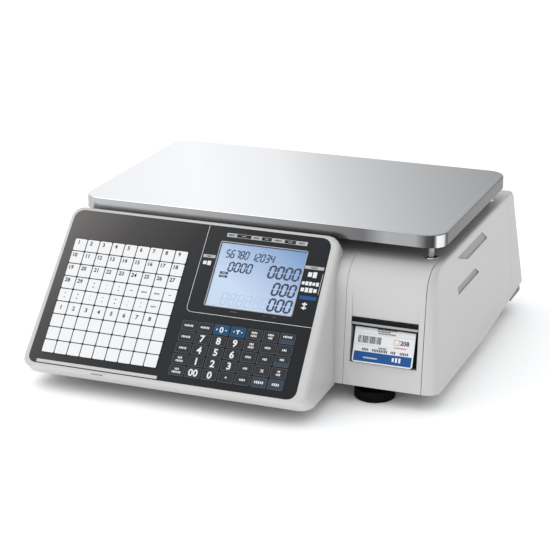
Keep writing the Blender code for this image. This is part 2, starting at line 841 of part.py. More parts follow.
def display_parts():
    window = panel_box(*grown(DISPLAY, -GAP), -0.0012, -0.0004)
    finish(window, "display_window", "clear_window")
    module = panel_box(-0.0310, 0.0665, 0.0128, 0.0872, -0.0110, -0.0018)
    finish(module, "lcd_module", "lcd_blue")


def keypad_parts():
    sheet = panel_box(*PRESET, GAP, 0.0009)
    finish(sheet, "preset_key_sheet", "white_sheet")
    board = panel_box(-0.0460, 0.0750, 0.1005, 0.1615, -0.0060, -0.0044)
    finish(board, "keypad_board", "board_green")


# Rear parts


def rear_box(left, right, low, high, inside, outside):
    return prism(rectangle(left, right, low, high), (0.0005,) * 4, inside, outside, on_rear, steps=1)


def rear_parts():
    window = rear_box(*REAR_DISPLAY, -0.0020, -0.0005)
    finish(window, "rear_display_window", "clear_window")
    module = rear_box(*grown(REAR_DISPLAY, -0.002), -0.0100, -0.0030)
    finish(module, "rear_lcd_module", "lcd_blue")
    ports = rear_box(*PORTS, -0.0160, -0.0002)
    sockets = [
        rear_box(left, left + width, *SOCKET_HEIGHTS, -SOCKET_DEPTH, 0.0100)
        for left, width in SOCKETS
    ]
    finish(cut(ports, *sockets), "port_block", "black_plastic")
    inlet = rear_box(*INLET, -0.0160, 0.0010)
    cavity = rear_box(*grown(INLET, -INLET_WALL), -SOCKET_DEPTH, 0.0100)
    pins = [rear_box(x, x + 0.002, z, z + 0.004, -0.0130, -0.0020) for x, z in INLET_PINS]
    cut(inlet, cavity)
    finish(join(inlet, *pins), "power_inlet", "black_plastic")


def switch_axis():
    return on_rear((SWITCH[0] + SWITCH[1]) / 2, (SWITCH[2] + SWITCH[3]) / 2, -0.0040)


def power_switch():
    """A rocker, its top edge pressed in at rest."""
    left, right, low, high = grown(SWITCH, -0.0012)
    middle = (low + high) / 2
    outline = [(low, -0.0060), (low, 0.0022), (middle, 0.0004), (high, -0.0002), (high, -0.0060)]
    rings = [[on_rear(x, z, out) for z, out in outline] for x in (left, right)]
    return finish(loft(rings), "power_switch", "black_plastic", switch_axis())


def bubble_level():
    low, high = BODY_TOP - 0.004, BODY_TOP + 0.001
    vial = rod((LEVEL_X, LEVEL_Y, low), (LEVEL_X, LEVEL_Y, high), 0.0060, 20)
    return finish(vial, "bubble_level", "clear_window")


# Printer parts


def side_plate(left, outline, holes):
    plate = side_slab(outline, left, left + FRAME_SHEET)
    drills = [
        rod((left - 0.01, y, z), (left + 0.01, y, z), radius, 20) for y, z, radius in holes
    ]
    return cut(plate, *drills)


def printer_frame():
    """Left plate, floor, roll hub and the short right plate, as one pressed and riveted frame."""
    floor_z = TRAY_FLOOR + GAP
    shaft = SHAFT_RADIUS + RUN_GAP / 2
    platen = (PLATEN_Y, PLATEN_Z, shaft)
    head = (HEAD_PIVOT_Y, HEAD_PIVOT_Z, PIN_HOLE)
    left_outline = [
        (FRAME_FRONT, floor_z),
        (FRAME_REAR, floor_z),
        (FRAME_REAR, 0.090),
        (0.060, LEFT_PLATE_TOP),
        (-0.085, LEFT_PLATE_TOP),
        (FRAME_FRONT, 0.098),
    ]
    right_outline = [
        (FRAME_FRONT, floor_z),
        (-0.0440, floor_z),
        (-0.0440, 0.1060),
        (FRAME_FRONT, 0.1000),
    ]
    left = side_plate(FRAME_LEFT, left_outline, [platen, (SPOOL_Y, SPOOL_Z, shaft), head])
    right = side_plate(FRAME_RIGHT, right_outline, [platen, head, (LEVER_Y, LEVER_Z, PIN_HOLE)])
    floor = box(
        (FRAME_LEFT, FRAME_FRONT, floor_z),
        (FRAME_RIGHT + FRAME_SHEET, FRAME_REAR, floor_z + FRAME_SHEET),
    )
    hub = rod((FRAME_LEFT + 0.001, ROLL_Y, ROLL_Z), (LABEL_RIGHT, ROLL_Y, ROLL_Z), 0.0170, 24)
    bore = rod((FRAME_LEFT + 0.006, ROLL_Y, ROLL_Z), (LABEL_RIGHT + 0.01, ROLL_Y, ROLL_Z), 0.0145, 24)
    cut(hub, bore)
    return finish(join(left, right, floor, hub), "printer_frame", "bright_steel")


def ring_x(left, right, y, z, outer, inner, segments=32):
    tube = rod((left, y, z), (right, y, z), outer, segments)
    return cut(tube, rod((left - 0.01, y, z), (right + 0.01, y, z), inner, segments))


def rollers():
    core = rod((0.1125, PLATEN_Y, PLATEN_Z), (0.1775, PLATEN_Y, PLATEN_Z), PLATEN_RADIUS, 24)
    shaft = rod((0.0985, PLATEN_Y, PLATEN_Z), (0.1830, PLATEN_Y, PLATEN_Z), SHAFT_RADIUS, 16)
    finish(join(core, shaft), "platen_roller", "black_rubber", (0, PLATEN_Y, PLATEN_Z))
    pulley = ring_x(0.1005, 0.1070, PLATEN_Y, PLATEN_Z, PLATEN_PULLEY, SHAFT_RADIUS + GAP / 3)
    finish(pulley, "platen_pulley", "black_plastic", (0, PLATEN_Y, PLATEN_Z))
    roll = ring_x(LABEL_LEFT, LABEL_RIGHT, ROLL_Y, ROLL_Z, ROLL_RADIUS, 0.0205)
    finish(roll, "label_roll", "label_paper", (0, ROLL_Y, ROLL_Z))
    tube = ring_x(LABEL_LEFT, LABEL_RIGHT, ROLL_Y, ROLL_Z, 0.0202, 0.0180)
    finish(tube, "roll_core", "card_core", (0, ROLL_Y, ROLL_Z))


def take_up_spool():
    spool = rod((0.1145, SPOOL_Y, SPOOL_Z), (0.1765, SPOOL_Y, SPOOL_Z), 0.0080, 24)
    flanges = [
        rod((x, SPOOL_Y, SPOOL_Z), (x + 0.0020, SPOOL_Y, SPOOL_Z), 0.0200, 28)
        for x in (0.1125, 0.1745)
    ]
    shaft = rod((0.1030, SPOOL_Y, SPOOL_Z), (0.1160, SPOOL_Y, SPOOL_Z), SHAFT_RADIUS, 16)
    return finish(
        join(spool, *flanges, shaft), "take_up_spool", "black_plastic", (0, SPOOL_Y, SPOOL_Z)
    )


def stepper_motor():
    half = 0.021
    can = prism(
        rectangle(MOTOR_Y - half, MOTOR_Y + half, MOTOR_Z - half, MOTOR_Z + half),
        (0.004,) * 4,
        0.0600,
        0.0940,
        lambda y, z, x: (x, y, z),
    )
    nose = rod((0.0930, MOTOR_Y, MOTOR_Z), (0.0955, MOTOR_Y, MOTOR_Z), 0.0110, 24)
    return finish(join(can, nose), "stepper_motor", "cast_aluminium")


def motor_pulley():
    wheel = rod((0.1005, MOTOR_Y, MOTOR_Z), (0.1070, MOTOR_Y, MOTOR_Z), MOTOR_PULLEY, 24)
    shaft = rod((0.0960, MOTOR_Y, MOTOR_Z), (0.1010, MOTOR_Y, MOTOR_Z), SHAFT_RADIUS, 16)
    return finish(join(wheel, shaft), "motor_pulley", "bright_steel", (0, MOTOR_Y, MOTOR_Z))


def belt_outline(grow):
    """The loop round both pulleys: two arcs that share their straight tangents."""
    pulleys = ((MOTOR_Y, MOTOR_Z, MOTOR_PULLEY), (PLATEN_Y, PLATEN_Z, PLATEN_PULLEY))
    dy, dz = PLATEN_Y - MOTOR_Y, PLATEN_Z - MOTOR_Z
    line = math.atan2(dz, dy)
    lean = math.acos((pulleys[0][2] - pulleys[1][2]) / math.hypot(dy, dz))
    points = []
    for (y, z, radius), first, sweep in (
        (pulleys[0], line + lean, 2 * (math.pi - lean)),
        (pulleys[1], line - lean, 2 * lean),
    ):
        for k in range(13):
            angle = first + sweep * k / 12
            reach = radius + grow
            points.append((y + reach * math.cos(angle), z + reach * math.sin(angle)))
    return points


def drive_belt():
    loop = side_slab(belt_outline(BELT_CLEARANCE + BELT_THICKNESS), 0.1012, 0.1063)
    cut(loop, side_slab(belt_outline(BELT_CLEARANCE), 0.1000, 0.1080))
    return finish(loop, "drive_belt", "black_rubber")


def print_head():
    origin = (0, HEAD_PIVOT_Y, HEAD_PIVOT_Z)
    block = box((0.1150, -0.1030, PLATEN_Z + PLATEN_RADIUS + 0.0007), (0.1750, -0.0850, 0.0970))
    finish(block, "print_head", "ceramic_head", origin)
    plate = box((0.1130, -0.1030, 0.0973), (0.1770, HEAD_PIVOT_Y, 0.0993))
    rib = box((0.1130, -0.0790, 0.0973), (0.1770, -0.0750, 0.1020))
    ends = [(x, HEAD_PIVOT_Y, HEAD_PIVOT_Z) for x in (0.1090, 0.1810)]
    shaft = rod(*ends, PIN_RADIUS, 16)
    finish(join(plate, rib, shaft), "head_bracket", "bright_steel", origin)


def head_release_lever():
    y, z = LEVER_Y, LEVER_Z
    hub = rod((0.1821, y, z), (0.1860, y, z), 0.0055, 24)
    arm = box((0.1825, y, z - 0.0030), (0.1850, y + 0.034, z + 0.0030))
    tab = box((0.1825, y + 0.026, z - 0.0045), (0.1885, y + 0.035, z + 0.0045))
    pin = rod((0.1800, y, z), (0.1830, y, z), PIN_RADIUS, 16)
    return finish(join(hub, arm, tab, pin), "head_release_lever", "key_blue", (0, y, z))


def peel_bar():
    y, z = -0.1092, 0.0818
    bar = rod((SLOT_LEFT + GAP, y, z), (SLOT_RIGHT - GAP, y, z), 0.0022, 20)
    return finish(bar, "peel_bar", "bright_steel")


def label_strip():
    """The printed label: it leaves over the peel bar and lies down the recess."""
    path = [
        (-0.1115, 0.0792),
        (-0.1130, 0.0760),
        (-0.1142, 0.0700),
        (-0.1165, 0.0580),
        (-0.1200, 0.0440),
    ]
    back = [(y + LABEL_THICKNESS, z - LABEL_THICKNESS) for y, z in path]
    strip = side_slab(path + back[::-1], LABEL_LEFT, LABEL_RIGHT)
    return finish(strip, "label_strip", "label_paper")


def build():
    form = shell()
    upper_housing(form)
    printer_front_cover(form)
    printer_door(form)
    bpy.data.objects.remove(form, do_unlink=True)
    base_housing()
    door_hinge_rod()
    for name, (x, y) in FEET.items():
        foot(name, x, y)
    main_board()
    power_supply()
    load_cell()
    load_cell_base_block()
    load_cell_top_block()
    platter_spider()
    corners = ("front_left", "rear_left", "front_right", "rear_right")
    for name, (x, y) in zip(corners, post_positions()):
        platter_pad("platter_pad_" + name, x, y)
    platter()
    console_overlay()
    for name, (column, row) in MOVING_KEYS.items():
        function_key(name, column, row)
    display_parts()
    keypad_parts()
    rear_parts()
    power_switch()
    bubble_level()
    printer_frame()
    rollers()
    take_up_spool()
    stepper_motor()
    motor_pulley()
    drive_belt()
    print_head()
    head_release_lever()
    peel_bar()
    label_strip()


build()
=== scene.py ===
"""Looks, light and camera for the label printing scale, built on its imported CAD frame."""

import json
import math

import bmesh
import bpy
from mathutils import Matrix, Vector

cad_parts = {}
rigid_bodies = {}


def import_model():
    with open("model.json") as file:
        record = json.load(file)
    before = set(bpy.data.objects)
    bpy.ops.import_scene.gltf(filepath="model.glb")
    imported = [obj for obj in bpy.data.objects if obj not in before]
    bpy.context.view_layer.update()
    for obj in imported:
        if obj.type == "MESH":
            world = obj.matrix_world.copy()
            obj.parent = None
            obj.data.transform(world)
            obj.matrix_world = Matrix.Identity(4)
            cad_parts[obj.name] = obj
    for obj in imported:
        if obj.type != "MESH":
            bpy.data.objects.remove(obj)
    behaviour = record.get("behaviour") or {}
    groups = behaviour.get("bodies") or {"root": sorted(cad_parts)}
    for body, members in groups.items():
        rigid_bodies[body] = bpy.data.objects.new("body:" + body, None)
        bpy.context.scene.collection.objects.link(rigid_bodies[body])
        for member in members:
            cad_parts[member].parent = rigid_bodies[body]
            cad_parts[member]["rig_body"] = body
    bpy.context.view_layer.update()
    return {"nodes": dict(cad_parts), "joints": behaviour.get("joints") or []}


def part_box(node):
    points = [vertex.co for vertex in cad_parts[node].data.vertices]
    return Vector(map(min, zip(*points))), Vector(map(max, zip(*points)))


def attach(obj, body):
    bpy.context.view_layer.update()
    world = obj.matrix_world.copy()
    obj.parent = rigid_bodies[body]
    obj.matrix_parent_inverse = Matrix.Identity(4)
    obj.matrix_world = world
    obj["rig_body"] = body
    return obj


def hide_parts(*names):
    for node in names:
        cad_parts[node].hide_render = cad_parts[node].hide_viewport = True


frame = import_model()
NODES = frame["nodes"]
SLOT_OF = {node: obj.data.materials[0].name for node, obj in NODES.items()}

MM = 0.001
OVERLAY_THICKNESS = 1.2 * MM
WINDOW_BACK = 1.2 * MM
WINDOW_FRONT = 0.4 * MM
SHEET_BOTTOM = 0.3 * MM
SHEET_TOP = 0.9 * MM
INK = 0.05 * MM
KEY_HEIGHT = 0.8 * MM
KEY_DEPTH = 3.0 * MM
KEY_SIZE = (15.6 * MM, 10.4 * MM)
REAR_LEAN = math.radians(11.6)
PADS = tuple(f"platter_pad_{end}_{side}" for end in ("front", "rear") for side in ("left", "right"))
FEET = ("foot_front_right", "foot_front_left", "foot_rear_right", "foot_rear_left")


def mm(*values):
    """Values in millimetres, turned into metres."""
    return tuple(value * MM for value in values)


def around(x, y, half_x, half_y=None):
    """The area that reaches half_x and half_y to each side of a point."""
    half_y = half_x if half_y is None else half_y
    return x - half_x, x + half_x, y - half_y, y + half_y


def add_object(name, data):
    obj = bpy.data.objects.new(name, data)
    bpy.context.scene.collection.objects.link(obj)
    return obj


# Frames of reference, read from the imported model


def joint_axis(name):
    return next(j["axis"] for j in frame["joints"] if j["name"] == name)


PRESS = joint_axis("key_7_press")
SIN, COS = PRESS[1], -PRESS[2]
OVERLAY_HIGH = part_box("console_overlay")[1]
PANEL_TOP = Vector((0.0, OVERLAY_HIGH.y - OVERLAY_THICKNESS * SIN, OVERLAY_HIGH.z))


def on_panel(x, down, height):
    """A point on the console: x, the distance down its slope from the film's top edge, and the height."""
    y = PANEL_TOP.y - down * COS - height * SIN
    z = PANEL_TOP.z - down * SIN + height * COS
    return Vector((x, y, z))


def down_of(point):
    return -(point.y - PANEL_TOP.y) * COS - (point.z - PANEL_TOP.z) * SIN


def panel_span(node, low_height, high_height):
    """Left, right, low and high edges of a node that lies on the panel between two heights."""
    low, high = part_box(node)
    start = (PANEL_TOP.z + high_height * COS - high.z) / SIN
    end = (PANEL_TOP.z + low_height * COS - low.z) / SIN
    return low.x, high.x, start, end


def middle(node):
    low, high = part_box(node)
    return (low + high) / 2


REAR_LOW, REAR_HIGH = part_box("rear_display_window")
REAR_Y = REAR_HIGH.y + 0.5 * MM * math.cos(REAR_LEAN)
REAR_Z = REAR_LOW.z + 2.0 * MM * math.sin(REAR_LEAN)


def on_rear(x, z, out):
    """A point on the rear wall: x, height above the table, and distance outwards."""
    y = REAR_Y + (REAR_Z - z) * math.tan(REAR_LEAN)
    return Vector((x, y + out * math.cos(REAR_LEAN), z + out * math.sin(REAR_LEAN)))


def flat(x, y, z):
    return Vector((x, y, z))


# Materials


def tree_of(owner):
    return owner.node_tree.nodes, owner.node_tree.links


def noise(nodes, links, coordinate, scale, detail=3.0):
    texture = nodes.new("ShaderNodeTexNoise")
    texture.inputs["Scale"].default_value = scale
    texture.inputs["Detail"].default_value = detail
    links.new(coordinate, texture.inputs["Vector"])
    return texture.outputs["Fac"]


def spread(nodes, links, value, low, high, start=0.3, end=0.7):
    reach = nodes.new("ShaderNodeMapRange")
    reach.inputs["From Min"].default_value = start
    reach.inputs["From Max"].default_value = end
    reach.inputs["To Min"].default_value = low
    reach.inputs["To Max"].default_value = high
    links.new(value, reach.inputs["Value"])
    return reach.outputs["Result"]


def blend_colour(nodes, links, value, first, second):
    mix = nodes.new("ShaderNodeMix")
    mix.data_type = "RGBA"
    mix.inputs["A"].default_value = (*first, 1.0)
    mix.inputs["B"].default_value = (*second, 1.0)
    links.new(value, mix.inputs["Factor"])
    return mix.outputs["Result"]


def scaled(colour, factor):
    return tuple(min(1.0, channel * factor) for channel in colour)


def coordinates(nodes, links, stretch):
    source = nodes.new("ShaderNodeTexCoord")
    mapping = nodes.new("ShaderNodeMapping")
    mapping.inputs["Scale"].default_value = stretch
    links.new(source.outputs["Object"], mapping.inputs["Vector"])
    return mapping.outputs["Vector"]


def surface(
    name,
    colour,
    roughness,
    metallic=0.0,
    grain=1500.0,
    bump=0.08,
    mottle=0.03,
    gloss_spread=0.05,
    stretch=(1.0, 1.0, 1.0),
    specular=0.5,
    sockets=None,
):
    """A Principled material whose colour, roughness and height all vary in the object's own space."""
    material = bpy.data.materials.new(name)
    material.use_nodes = True
    nodes, links = tree_of(material)
    shader = nodes["Principled BSDF"]
    vector = coordinates(nodes, links, stretch)
    broad = noise(nodes, links, vector, 18.0)
    fine = noise(nodes, links, vector, grain, 2.0)
    tint = blend_colour(nodes, links, broad, scaled(colour, 1 - mottle), scaled(colour, 1 + mottle))
    links.new(tint, shader.inputs["Base Color"])
    gloss = spread(nodes, links, fine, roughness - gloss_spread, roughness + gloss_spread)
    links.new(gloss, shader.inputs["Roughness"])
    shader.inputs["Metallic"].default_value = metallic
    shader.inputs["Specular IOR Level"].default_value = specular
    relief = nodes.new("ShaderNodeBump")
    relief.inputs["Strength"].default_value = bump
    relief.inputs["Distance"].default_value = 0.1 * MM
    links.new(fine, relief.inputs["Height"])
    links.new(relief.outputs["Normal"], shader.inputs["Normal"])
    for socket, value in (sockets or {}).items():
        shader.inputs[socket].default_value = value
    return material


def shade_creases(material, reach, darkest):
    """Paints shade into the colour, darker in creases and narrow gaps."""
    nodes, links = tree_of(material)
    socket = nodes["Principled BSDF"].inputs["Base Color"]
    crease = nodes.new("ShaderNodeAmbientOcclusion")
    crease.samples = 6
    crease.inputs["Distance"].default_value = reach
    depth = spread(nodes, links, crease.outputs["AO"], darkest, 1.0, 0.05, 0.55)
    mix = nodes.new("ShaderNodeMix")
    mix.data_type = "RGBA"
    mix.blend_type = "MULTIPLY"
    mix.inputs["Factor"].default_value = 1.0
    links.new(socket.links[0].from_socket, mix.inputs["A"])
    links.new(depth, mix.inputs["B"])
    links.new(mix.outputs["Result"], socket)
    return material


def ramp_through(nodes, links, value, stops):
    """The colour that a value picks from the stops, each of them a place and a colour."""
    start, end = stops[0][0], stops[-1][0]
    ramp = nodes.new("ShaderNodeValToRGB")
    links.new(spread(nodes, links, value, 0.0, 1.0, start, end), ramp.inputs["Fac"])
    points = ramp.color_ramp.elements
    while len(points) < len(stops):
        points.new(0.5)
    for point, (place, colour) in zip(points, stops):
        point.position = (place - start) / (end - start)
        point.color = (*colour, 1.0)
    return ramp.outputs["Color"]


def tint_across(material, direction, stops):
    """Runs the material's colour through the stops, each a distance along the direction and a colour."""
    nodes, links = tree_of(material)
    source = nodes.new("ShaderNodeTexCoord")
    along = nodes.new("ShaderNodeVectorMath")
    along.operation = "DOT_PRODUCT"
    along.inputs[1].default_value = direction
    links.new(source.outputs["Object"], along.inputs[0])
    colour = ramp_through(nodes, links, along.outputs["Value"], stops)
    links.new(colour, nodes["Principled BSDF"].inputs["Base Color"])
    return material


def greys(*stops):
    """Stops of a nearly neutral grey, each a place and a brightness."""
    return [(place, (value, value, value * 1.01)) for place, value in stops]


def wound_paper(name, colour):
    """Paper whose wound layers show as fine rings round the roll's axis."""
    material = surface(name, colour, 0.6, grain=900.0)
    nodes, links = tree_of(material)
    centre = middle("label_roll")
    source = nodes.new("ShaderNodeTexCoord")
    shift = nodes.new("ShaderNodeMapping")
    shift.inputs["Location"].default_value = (0.0, -centre.y, -centre.z)
    links.new(source.outputs["Object"], shift.inputs["Vector"])
    rings = nodes.new("ShaderNodeTexWave")
    rings.wave_type = "RINGS"
    rings.rings_direction = "X"
    rings.inputs["Scale"].default_value = 260.0
    rings.inputs["Distortion"].default_value = 0.4
    links.new(shift.outputs["Vector"], rings.inputs["Vector"])
    tint = blend_colour(nodes, links, rings.outputs["Fac"], scaled(colour, 0.72), colour)
    links.new(tint, nodes["Principled BSDF"].inputs["Base Color"])
    return material


def lit_screen(name, low_colour, high_colour):
    """A backlit display: brighter at its lower left, bluer at its upper right."""
    material = surface(name, low_colour, 0.35, mottle=0.02, bump=0.0)
    nodes, links = tree_of(material)
    shader = nodes["Principled BSDF"]
    low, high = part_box("lcd_module")
    source = nodes.new("ShaderNodeTexCoord")
    parts = nodes.new("ShaderNodeSeparateXYZ")
    links.new(source.outputs["Object"], parts.inputs["Vector"])
    across = spread(nodes, links, parts.outputs["X"], 0.0, 0.45, low.x, high.x)
    upward = spread(nodes, links, parts.outputs["Z"], 0.0, 0.55, low.z, high.z)
    total = nodes.new("ShaderNodeMath")
    total.operation = "ADD"
    links.new(across, total.inputs[0])
    links.new(upward, total.inputs[1])
    shape = spread(nodes, links, total.outputs[0], 0.0, 1.0, 0.35, 1.0)
    tint = blend_colour(nodes, links, shape, low_colour, high_colour)
    links.new(tint, shader.inputs["Emission Color"])
    base = blend_colour(nodes, links, shape, scaled(low_colour, 0.18), scaled(high_colour, 0.18))
    links.new(base, shader.inputs["Base Color"])
    shader.inputs["Emission Strength"].default_value = 1.0
    return material


LOOKS = {}


def dress(slot, *measures, **options):
    """Makes the material that shows one of the CAD slots."""
    LOOKS[slot] = surface(slot, *measures, **options)


dress("housing_plastic", (0.62, 0.617, 0.605), 0.42, mottle=0.012, bump=0.05, grain=2600.0)
shade_creases(LOOKS["housing_plastic"], 25 * MM, 0.30)
dress("tray_plastic", (0.035, 0.035, 0.037), 0.5, bump=0.15)
dress("console_film", (0.012, 0.013, 0.016), 0.33, bump=0.03, grain=3000.0)
dress("key_grey", (0.018, 0.0195, 0.024), 0.42, mottle=0.05, specular=0.3)
dress("key_blue", (0.0, 0.062, 0.165), 0.38, mottle=0.05, specular=0.3)
dress("preset_sheet", (0.91, 0.91, 0.915), 0.4, mottle=0.01, bump=0.03)
dress("clear_window", (0.5, 0.6, 0.7), 0.08, gloss_spread=0.02, sockets={"Alpha": 0.07})
LOOKS["lcd"] = lit_screen("lcd", (0.50, 0.60, 0.76), (0.075, 0.20, 0.46))
BRUSHED = (1.0, 60.0, 60.0)
DRAWN = (1.0, 40.0, 40.0)
dress(
    "platter_steel", (0.70, 0.70, 0.71), 0.24, metallic=1.0, grain=26.0, bump=0.012, mottle=0.02,
    gloss_spread=0.04, stretch=BRUSHED,
)
dress("bright_steel", (0.72, 0.72, 0.73), 0.22, 1.0, 12.0, 0.05, stretch=DRAWN)
dress("cast_metal", (0.50, 0.51, 0.52), 0.48, 1.0, 700.0, 0.3, 0.08, 0.12)
dress("board", (0.02, 0.16, 0.07), 0.42, grain=420.0, mottle=0.18)
dress("black_plastic", (0.014, 0.014, 0.015), 0.42, bump=0.12)
dress("rubber", (0.0025, 0.0025, 0.0025), 0.5, bump=0.2, grain=900.0, mottle=0.15, specular=0.08)
LOOKS["label_paper"] = wound_paper("label_paper", (0.86, 0.86, 0.85))
dress("card", (0.40, 0.28, 0.17), 0.85, grain=600.0, bump=0.4, mottle=0.12)
dress("ceramic", (0.28, 0.24, 0.20), 0.3, mottle=0.08)
# The console film's colour carries a painted sheen: lighter towards its upper left, darker towards its
# lower right.
OVERLAY_PAINTED_SHEEN = tint_across(
    surface("console_overlay_painted_sheen", (0.03, 0.031, 0.036), 0.34, bump=0.03, grain=3000.0, specular=0.2),
    (1.0, 0.0, -0.8),
    (
        (-0.34, (0.200, 0.185, 0.180)),
        (-0.24, (0.072, 0.067, 0.066)),
        (-0.17, (0.030, 0.030, 0.032)),
        (-0.11, (0.015, 0.017, 0.021)),
        (0.05, (0.006, 0.008, 0.011)),
    ),
)
# The skirt's colour is a painted reflection: light and dark bands along it, with a painted highlight near
# its right end.
SKIRT_PAINTED_REFLECTION = tint_across(
    surface("platter_skirt_painted_reflection", (0.5, 0.5, 0.5), 0.22, metallic=1.0, grain=26.0, bump=0.01, stretch=BRUSHED),
    (1.0, 0.0, 0.0),
    greys(
        (-0.192, 0.28), (-0.180, 0.46), (-0.060, 0.34), (0.040, 0.22), (0.112, 0.15), (0.134, 0.36), (
            0.164, 0.34
        ),
        (0.175, 0.07), (0.1825, 0.04), (0.1845, 0.85), (0.1895, 0.75), (0.1905, 0.04), (0.192, 0.03),
    ),
)
# The platter's underside and inner faces are painted dark as the shade beneath it.
UNDER_PAINTED_SHADE = surface("platter_under_painted_shade", (0.10, 0.10, 0.10), 0.4, metallic=1.0, grain=26.0, stretch=BRUSHED)
# The platter_steel material itself gets a painted reflection: light at the left, fading to dark grey at the
# right.
TOP_PAINTED_REFLECTION = tint_across(
    LOOKS["platter_steel"],
    (1.0, 0.47, 0.0),
    greys(
        (-0.25, 0.84), (-0.10, 0.94), (0.0, 0.84), (0.055, 0.62), (0.10, 0.50), (0.15, 0.40), (0.25, 0.25)
    ),
)
# The base is painted dark grey as the shade beneath the body, with painted shade in its creases too.
BASE_PAINTED_SHADE = shade_creases(
    surface("base_plastic_painted_shade", (0.17, 0.17, 0.168), 0.5, bump=0.1, grain=2200.0), 25 * MM, 0.3
)
# Darker grey for the door's finger grips: painted shade in their recesses.
GRIP_PAINTED_SHADE = surface("grip_painted_shade", (0.36, 0.36, 0.352), 0.5, bump=0.1, grain=2200.0)
# Near black for the label slot's back and lips: painted shade.
SLOT_PAINTED_SHADE = surface("slot_liner", (0.008, 0.008, 0.009), 0.6, bump=0.1, specular=0.12)
TEAR_STEEL = surface("tear_steel", (0.42, 0.42, 0.43), 0.3, 1.0, 30.0, 0.03, stretch=DRAWN)
# Lighter rims for the keys, grey and navy: a painted highlight along their edges.
KEY_RIM_HIGHLIGHT = surface("key_rim_painted_highlight", (0.10, 0.105, 0.115), 0.4)
KEY_NAVY = surface("key_navy", (0.012, 0.022, 0.036), 0.4)
KEY_NAVY_RIM_HIGHLIGHT = surface("key_navy_rim_painted_highlight", (0.02, 0.10, 0.19), 0.4)
KEY_TEAL = surface("key_lower_blue", (0.004, 0.032, 0.075), 0.4)
KEY_BED = surface("key_bed", (0.006, 0.0065, 0.008), 0.5, specular=0.3)
INK_WHITE = surface("ink_white", (0.86, 0.86, 0.86), 0.5, mottle=0.02)
INK_GREY = surface("ink_grey", (0.48, 0.49, 0.50), 0.5)
INK_FAINT = surface("ink_faint", (0.10, 0.10, 0.11), 0.5)
INK_BLACK = surface("ink_black", (0.012, 0.012, 0.014), 0.5, specular=0.3)
INK_BLUE = surface("ink_blue", (0.006, 0.085, 0.30), 0.45, specular=0.3)
INK_RED = surface("ink_red", (0.62, 0.10, 0.08), 0.5)
SEGMENT_ON = surface("segment_on", (0.003, 0.008, 0.065), 0.5, bump=0.0, specular=0.1)
DIM_GLOW = {"Emission Color": (0.33, 0.43, 0.60, 1.0), "Emission Strength": 1.0}
SEGMENT_OFF = surface("segment_off", (0.09, 0.12, 0.17), 0.4, sockets=DIM_GLOW)
BEZEL = surface("bezel", (0.42, 0.44, 0.47), 0.35)
LABEL_SHEET = shade_creases(surface("label_sheet", (0.84, 0.85, 0.86), 0.38, mottle=0.02), 7 * MM, 0.3)
# Near black for screw recesses and wall slots: painted shade.
RECESS_PAINTED_SHADE = surface("recess_painted_shade", (0.006, 0.006, 0.006), 0.8, bump=0.4, grain=500.0)


# Building meshes


class Form:
    """Collects faces, each with the number of its look; place puts its points in the scene."""

    def __init__(self, name, *looks, place=on_panel):
        self.name = name
        self.place = place
        self.looks = looks
        self.shape = bmesh.new()

    def face(self, points, look=0):
        self.shape.faces.new([self.shape.verts.new(p) for p in points]).material_index = look

    def lay(self, outline, level, look=0):
        """A face through (a, b) points, all at one height."""
        self.face([self.place(a, b, level) for a, b in outline], look)

    def tube(self, rings, looks=0, caps=True):
        """A skin over rings of equal length; looks may be one number or one for each band."""
        bands = [looks] * (len(rings) - 1) if isinstance(looks, int) else looks
        rows = [[self.shape.verts.new(p) for p in ring] for ring in rings]
        count = len(rings[0])
        for band, near, far in zip(bands, rows, rows[1:]):
            for i in range(count):
                j = (i + 1) % count
                self.shape.faces.new((near[i], near[j], far[j], far[i])).material_index = band
        if caps:
            self.shape.faces.new(rows[0][::-1]).material_index = bands[0]
            self.shape.faces.new(rows[-1]).material_index = bands[-1]

    def make(self, body, angle=35.0):
        mesh = bpy.data.meshes.new(self.name)
        self.shape.normal_update()
        bmesh.ops.recalc_face_normals(self.shape, faces=self.shape.faces[:])
        self.shape.to_mesh(mesh)
        self.shape.free()
        for look in self.looks:
            mesh.materials.append(look)
        obj = add_object(self.name, mesh)
        mesh.shade_smooth()
        mesh.set_sharp_from_angle(angle=math.radians(angle))
        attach(obj, body)
        return obj


def rounded(left, right, low, high, radius, inset=0.0, steps=3):
    """A rounded rectangle as (a, b) points, moved inwards by inset."""
    left, right, low, high = left + inset, right - inset, low + inset, high - inset
    radius = max(radius - inset, 0.02 * MM)
    corners = ((right, high, 0), (left, high, 1), (left, low, 2), (right, low, 3))
    points = []
    for x, y, quarter in corners:
        centre_x = x - radius if quarter in (0, 3) else x + radius
        centre_y = y - radius if quarter in (0, 1) else y + radius
        for k in range(steps + 1):
            angle = math.pi / 2 * (quarter + k / steps)
            points.append((centre_x + radius * math.cos(angle), centre_y + radius * math.sin(angle)))
    return points


def cap(form, area, radius, bottom, top, edge, look=0, edge_look=None, inner=None):
    """A key top or plate: upright sides, a rounded edge of its own look, and a flat top."""
    edge_look = look if edge_look is None else edge_look
    rings = [[form.place(a, b, bottom) for a, b in rounded(*area, radius)]]
    for k in range(3):
        angle = math.pi / 2 * (1 - k / 2)
        inset = edge * (1 - math.sin(angle))
        rings.append(
            [form.place(a, b, top - edge * (1 - math.cos(angle))) for a, b in rounded(*area, radius, inset)]
        )
    bands = [look, edge_look, edge_look]
    if inner:
        rings.append([form.place(a, b, top) for a, b in rounded(*area, radius, edge + inner)])
        bands.append(edge_look)
    rings.append(
        [form.place(a, b, top) for a, b in rounded(*area, radius, edge + (inner or 0.0) + 0.02 * MM)]
    )
    bands.append(look)
    form.tube(rings, bands)


def patch(form, area, level, look=0, radius=0.0):
    if radius:
        outline = rounded(*area, radius)
    else:
        left, right, low, high = area
        outline = [(left, low), (right, low), (right, high), (left, high)]
    form.lay(outline, level, look)


